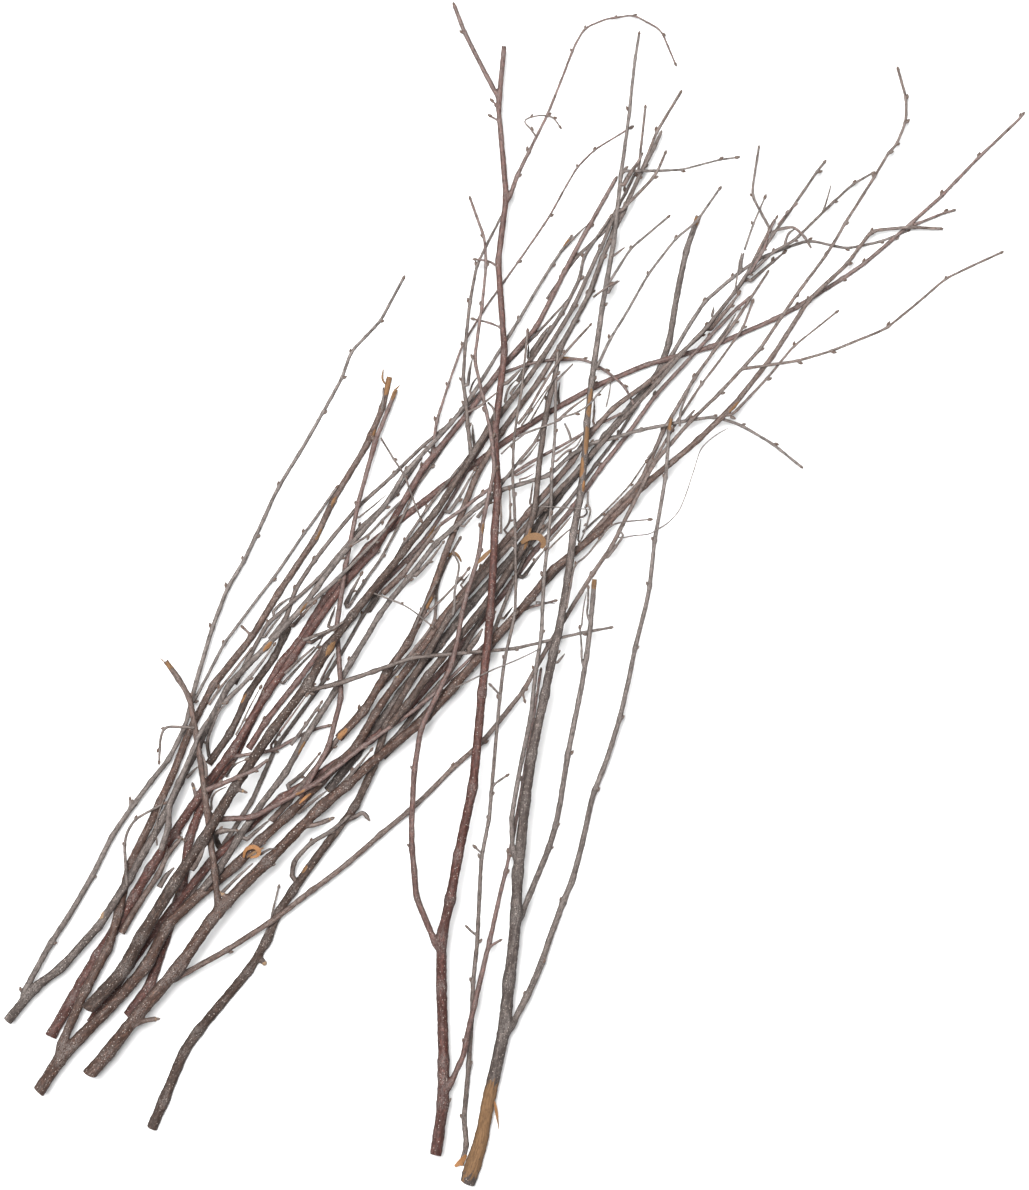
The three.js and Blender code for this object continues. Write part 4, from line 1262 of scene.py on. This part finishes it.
class Finish:
    """A procedural material being put together."""

    def __init__(self, name):
        self.material = bpy.data.materials.new(name)
        self.material.use_nodes = True
        self.tree = self.material.node_tree
        self.tree.nodes.clear()

    def node(self, kind, settings=None, values=None, output=0):
        """Adds a node with its settings and its sockets' values or links. Gives one output."""
        made = self.tree.nodes.new(kind)
        for key, value in (settings or {}).items():
            setattr(made, key, value)
        for key, value in (values or {}).items():
            if kind == "ShaderNodeMix":
                target = next(s for s in made.inputs if s.enabled and s.name == key)
            else:
                target = made.inputs[key]
            if isinstance(value, Socket):
                self.tree.links.new(value.link, target)
            else:
                target.default_value = value
        if not made.outputs:
            return None
        if kind == "ShaderNodeMix":
            return Socket(self, next(s for s in made.outputs if s.enabled))
        return Socket(self, made.outputs[output])

    def maths(self, operation, a, b):
        return self.node("ShaderNodeMath", {"operation": operation}, {0: a, 1: b})

    def attribute(self, name, output="Fac"):
        settings = {"attribute_name": name, "attribute_type": "GEOMETRY"}
        return self.node("ShaderNodeAttribute", settings, {}, output)

    def stretch(self, place, across, along):
        """The place, measured in a pattern's own grain sizes across and along the limb."""
        return self.node("ShaderNodeVectorMath", {"operation": "MULTIPLY"},
                         {0: place, 1: (1 / across, 1 / across, 1 / along)})

    def noise(self, place, sizes, detail, roughness):
        return self.node("ShaderNodeTexNoise", {"noise_dimensions": "3D"},
                         {"Vector": self.stretch(place, *sizes), "Scale": 1.0,
                          "Detail": detail, "Roughness": roughness})

    def cells(self, place, output):
        return self.node("ShaderNodeTexVoronoi", {"feature": "F1", "voronoi_dimensions": "3D"},
                         {"Vector": place, "Scale": 1.0, "Randomness": 1.0}, output)

    def blend(self, factor, a, b):
        """Colour a where the factor is 0 and b where it is 1."""
        a, b = (c if isinstance(c, Socket) else (*c, 1.0) for c in (a, b))
        return self.node("ShaderNodeMix", {"data_type": "RGBA"}, {"Factor": factor, "A": a, "B": b})

    def layered(self, base, *layers):
        """A base colour under layers, each given as its cover and its colour."""
        for cover, tone in layers:
            base = self.blend(cover, base, tone)
        return base

    def surface(self, base, rough, height, depth):
        """Ends the material: a Principled shader with a bump of that height."""
        bump = self.node("ShaderNodeBump", {},
                         {"Strength": BUMP, "Distance": depth, "Height": height}, "Normal")
        shader = self.node("ShaderNodeBsdfPrincipled", {},
                           {"Base Color": base, "Roughness": rough,
                            "Specular IOR Level": SPECULAR, "Normal": bump})
        self.node("ShaderNodeOutputMaterial", {}, {"Surface": shader})


def scaled(tone, factor):
    """A tone made lighter or darker."""
    return tuple(min(c * factor, 1.0) for c in tone)


def make_bark(name, tone, tones, film_share, dot_share, shine):
    """Bark with patches, lengthwise grain, pale pores and a grey film, bare wood, and cut ends,
    with painted shade darkening the sides of every limb.
    """
    f = Finish(name)
    wood = f.attribute("wood", "Vector")
    bare, orange, cut, knot, girth, crest = (
        f.attribute(n) for n in ("bare", "orange", "cut", "knot", "girth", "crest"))
    patches = f.noise(wood, PATCHES, 3.0, 0.6)
    mottle = f.noise(wood, MOTTLE, 3.0, 0.65)
    speckle = f.noise(wood, SPECKLE, 2.0, 0.6)
    grain = f.noise(wood, GRAIN, 3.0, 0.55)
    streak = f.noise(wood, STREAK, 4.0, 0.6)
    fibre = f.noise(wood, FIBRE, 3.0, 0.6)
    film = f.noise(wood, FILM, 4.0, 0.65).ramp(0.44, 0.66) * (0.35 + 0.65 * speckle.ramp(0.35, 0.6))
    thick = girth.ramp(0.9, 2.9)
    # Painted shade: 1 on the sides of a limb and under it, 0 along its top, as if lit only from
    # overhead.
    painted_side_shade = crest.ramp(0.85, 0.1)

    base = f.layered(
        f.blend(patches.ramp(0.35, 0.68), scaled(tone, 0.7), scaled(tone, 1.3)),
        ((1 - thick) * 0.66, scaled(tones.film, 0.78)),  # thin shoots are pale
        (thick * 0.68, scaled(tone, 0.28)),  # thick wood is dark
        (girth.ramp(2.5, 3.9) * 0.45, scaled(tone, 0.3)),  # and the thickest darker still
        # Painted shade: the pale grey film is kept off the shaded sides of the limb.
        (film * film_share * (1 - painted_side_shade * 0.8) * (1 - thick * 0.45), tones.film),
        (mottle.ramp(0.5, 0.64) * 0.32, scaled(tone, 2.0)),
        (mottle.ramp(0.48, 0.36) * 0.7, scaled(tone, 0.35)),
        (grain.ramp(0.5, 0.36) * 0.6, scaled(tone, 0.3)),
        (knot * 0.5 * speckle.ramp(0.42, 0.6), scaled(tones.film, 0.8)),
        (speckle.ramp(0.46, 0.32) * 0.6, scaled(tone, 0.25)),
        # Painted shade darkening the sides of the limb, more on thick wood.
        (painted_side_shade * (0.62 + 0.2 * thick), scaled(tone, 0.3)))

    layers = []
    for cell, most in PORES:
        place = f.stretch(wood, cell, PORE_LENGTH * cell)
        size = f.node("ShaderNodeSeparateColor", {}, {"Color": f.cells(place, "Color")}, "Red")
        pore = most * size * (0.5 + 0.5 * thick) - f.cells(place, "Distance")
        layers.append(pore.ramp(-0.03, 0.05))
    dots = layers[0] + layers[1]
    # Painted shade: the pale pores fade on the shaded sides of the limb.
    base = f.blend((dots * dot_share * (1 - painted_side_shade * 0.6)).ramp(0.0, 1.0), base, tones.dots)

    dark_streak = f.blend(orange, scaled(tones.wood, 0.42), scaled(tones.inner, 0.5))
    bare_tone = f.layered(
        f.blend(orange, tones.wood, tones.inner),
        (streak.ramp(0.4, 0.62) * 0.7, dark_streak),
        (mottle.ramp(0.5, 0.36) * 0.5, scaled(tones.wood, 0.4)),
        # Painted shade darkening the sides of bare wood.
        (painted_side_shade * 0.5, scaled(tones.wood, 0.3)))
    peeled = (bare + (mottle - 0.5) * 1.5 + (patches - 0.5) * 1.2).ramp(0.5, 0.6)
    cut_tone = f.blend(fibre.ramp(0.35, 0.65), scaled(tones.cut, 0.5), tones.cut)
    base = f.layered(base, (peeled, bare_tone), (cut.ramp(0.2, 0.7), cut_tone))

    rough = shine + 0.22 * mottle + 0.1 * film + peeled * 0.12
    height = (grain * 0.4 + mottle * 0.5 + speckle * 0.25 + dots * (1.0 - peeled) * 0.5
              + streak * peeled * 0.8 + peeled * -0.6)
    f.surface(base, rough, height, 0.4 * MM)


def make_bud_scales(tones):
    """Brown scales of a winter bud, paler towards their edges."""
    f = Finish("bud scales")
    place = f.node("ShaderNodeTexCoord", {}, {}, "Object")
    scales = f.noise(place, SCALE, 3.0, 0.6)
    fine = f.noise(place, SCALE_EDGE, 2.0, 0.5)
    base = f.blend(scales.ramp(0.38, 0.62), scaled(tones.brown, 0.7), scaled(tones.film, 0.6))
    base = f.blend(fine.ramp(0.52, 0.66) * 0.6, base, scaled(tones.wood, 0.8))
    f.surface(base, 0.5 + 0.25 * fine, scales + 0.4 * fine, 0.25 * MM)


def make_torn(name, tone, tones):
    """Torn bark and wood: long fibres, orange where it is fresh."""
    f = Finish(name)
    place = f.node("ShaderNodeTexCoord", {}, {}, "Object")
    fibre = f.noise(place, TORN_FIBRE, 4.0, 0.65)
    broad = f.noise(place, TORN_PATCH, 2.0, 0.5)
    base = f.blend(fibre.ramp(0.35, 0.65), scaled(tone, 0.6), tone)
    base = f.blend(broad.ramp(0.5, 0.72) * 0.6, base, scaled(tones.wood, 0.8))
    f.surface(base, 0.55 + 0.2 * fibre, fibre, 0.3 * MM)


# --- Operators ---

class Step:
    """What every step of the bundle has in common."""

    bl_options = {"REGISTER", "UNDO"}


class TWIGS_OT_barks(Step, bpy.types.Operator):
    """Make the four kinds of bark, the bud scales and the torn wood"""

    bl_idname = "twigs.barks"
    bl_label = "Make Barks"

    def execute(self, context):
        tones = context.scene.twig_tones
        for bark, settings in BARKS.items():
            make_bark(f"bark {bark}", getattr(tones, bark), tones, *settings)
        make_bud_scales(tones)
        make_torn("torn orange", tones.inner, tones)
        make_torn("torn tan", scaled(tones.wood, 1.1), tones)
        return {"FINISHED"}


class TWIGS_OT_twigs(Step, bpy.types.Operator):
    """Grow every twig as one closed piece of wood, from its stem and the branches that leave it"""

    bl_idname = "twigs.twigs"
    bl_label = "Grow Twigs"

    def execute(self, context):
        form = context.scene.twig_form
        read_courses(form)
        for twig, courses in limbs_by_twig():
            rng = random.Random(f"grow {twig}")
            stem, *branches = courses
            piece = grown_tube(stem, form.stem_sides)
            shear_end(piece, stem, rng.uniform(*SLANT), rng.uniform(0, math.tau))
            for course in branches:
                fewer = 0 if course.radii.mean() > STOUT else 2
                apply_boolean_union(piece, grown_tube(course, form.branch_sides - fewer))
            for course in branches:
                thick = course.parent.radii[course.fork]
                out = np.linalg.norm(course.line - course.line[0], axis=1) > CROTCH * thick
                crotch = course.line[int(np.argmax(out))]
                soften(piece, crotch, CROTCH_REACH * thick + course.radii[1], CROTCH_ROUNDS)
            lump(piece, form.bark_lumps, LUMP_SIZE)
            piece.name = twig
            mark(piece, courses)
            nodes = [c.name for c in courses if c.name in frame["nodes"]]
            finish_piece(piece, bark_of(stem.name), *nodes)
        return {"FINISHED"}


class TWIGS_OT_buds(Step, bpy.types.Operator):
    """Set winter buds at the nodes and tips of every twig"""

    bl_idname = "twigs.buds"
    bl_label = "Set Buds"

    def execute(self, context):
        model = bud_model(context.scene.twig_form.bud_length)
        for twig, courses in limbs_by_twig():
            rng = random.Random(f"buds {twig}")
            places = [place for course in courses for place in bud_places(course, rng)]
            hand_over_buds(model, places, f"{twig}_buds", bark_of(courses[0].name))
        bpy.data.objects.remove(model)
        return {"FINISHED"}


class TWIGS_OT_shoots(Step, bpy.types.Operator):
    """Add the hair-thin shoots and threads that lie on the bundle or grow out of it"""

    bl_idname = "twigs.shoots"
    bl_label = "Add Fine Shoots"

    def execute(self, context):
        form = context.scene.twig_form
        model = bud_model(form.bud_length)
        for k, (bark, host, way, thick, thin) in enumerate(SHOOTS, 1):
            name = f"shoot_{k:02d}"
            course = shoot_course(name, host, way, (thick, thin), form)
            piece = grown_tube(course, SHOOT_SIDES)
            mark(piece, [course])
            finish_piece(piece, bark)
            if thick > BUDLESS and course.length > SHORT:
                places = bud_places(course, random.Random(f"buds {name}"))
                hand_over_buds(model, places, f"{name}_buds", bark)
        bpy.data.objects.remove(model)
        return {"FINISHED"}


class TWIGS_OT_strips(Step, bpy.types.Operator):
    """Add splinters, curls of torn bark and shreds of wood"""

    bl_idname = "twigs.strips"
    bl_label = "Add Torn Strips"

    def execute(self, context):
        for name, host, way, width, orange in STRIPS:
            torn_strip(name, COURSES[host], way, width, orange)
        return {"FINISHED"}


class TWIGS_OT_stage(Step, bpy.types.Operator):
    """Set the pale floor, the soft lights and the camera that looks straight down"""

    bl_idname = "twigs.stage"
    bl_label = "Set Stage"

    def execute(self, context):
        for make in (make_floor, make_lights, make_camera):
            make(context.scene.twig_stage)
        return {"FINISHED"}


STEPS = (TWIGS_OT_barks, TWIGS_OT_twigs, TWIGS_OT_buds,
         TWIGS_OT_shoots, TWIGS_OT_strips, TWIGS_OT_stage)
SETTINGS = {"twig_form": TwigForm, "twig_tones": TwigTones, "twig_stage": TwigStage}


class TWIGS_PT_panel(bpy.types.Panel):
    """Lists the settings and the steps of the bundle"""

    bl_label = "Bundle of Twigs"
    bl_idname = "TWIGS_PT_panel"
    bl_space_type = "VIEW_3D"
    bl_region_type = "UI"
    bl_category = "Twigs"

    def draw(self, context):
        for key, group in SETTINGS.items():
            box = self.layout.box()
            for name in group.__annotations__:
                box.prop(getattr(context.scene, key), name)
        for step in STEPS:
            self.layout.operator(step.bl_idname)


CLASSES = (*SETTINGS.values(), *STEPS, TWIGS_PT_panel)


def register():
    for item in CLASSES:
        bpy.utils.register_class(item)
    for key, group in SETTINGS.items():
        setattr(bpy.types.Scene, key, bpy.props.PointerProperty(type=group))


def unregister():
    for key in SETTINGS:
        delattr(bpy.types.Scene, key)
    for item in reversed(CLASSES):
        bpy.utils.unregister_class(item)


def main():
    register()
    bpy.ops.object.select_all(action="DESELECT")
    bpy.ops.twigs.barks()
    bpy.ops.twigs.twigs()
    bpy.ops.twigs.buds()
    bpy.ops.twigs.shoots()
    bpy.ops.twigs.strips()
    bpy.ops.twigs.stage()


if __name__ == "__main__":
    main()
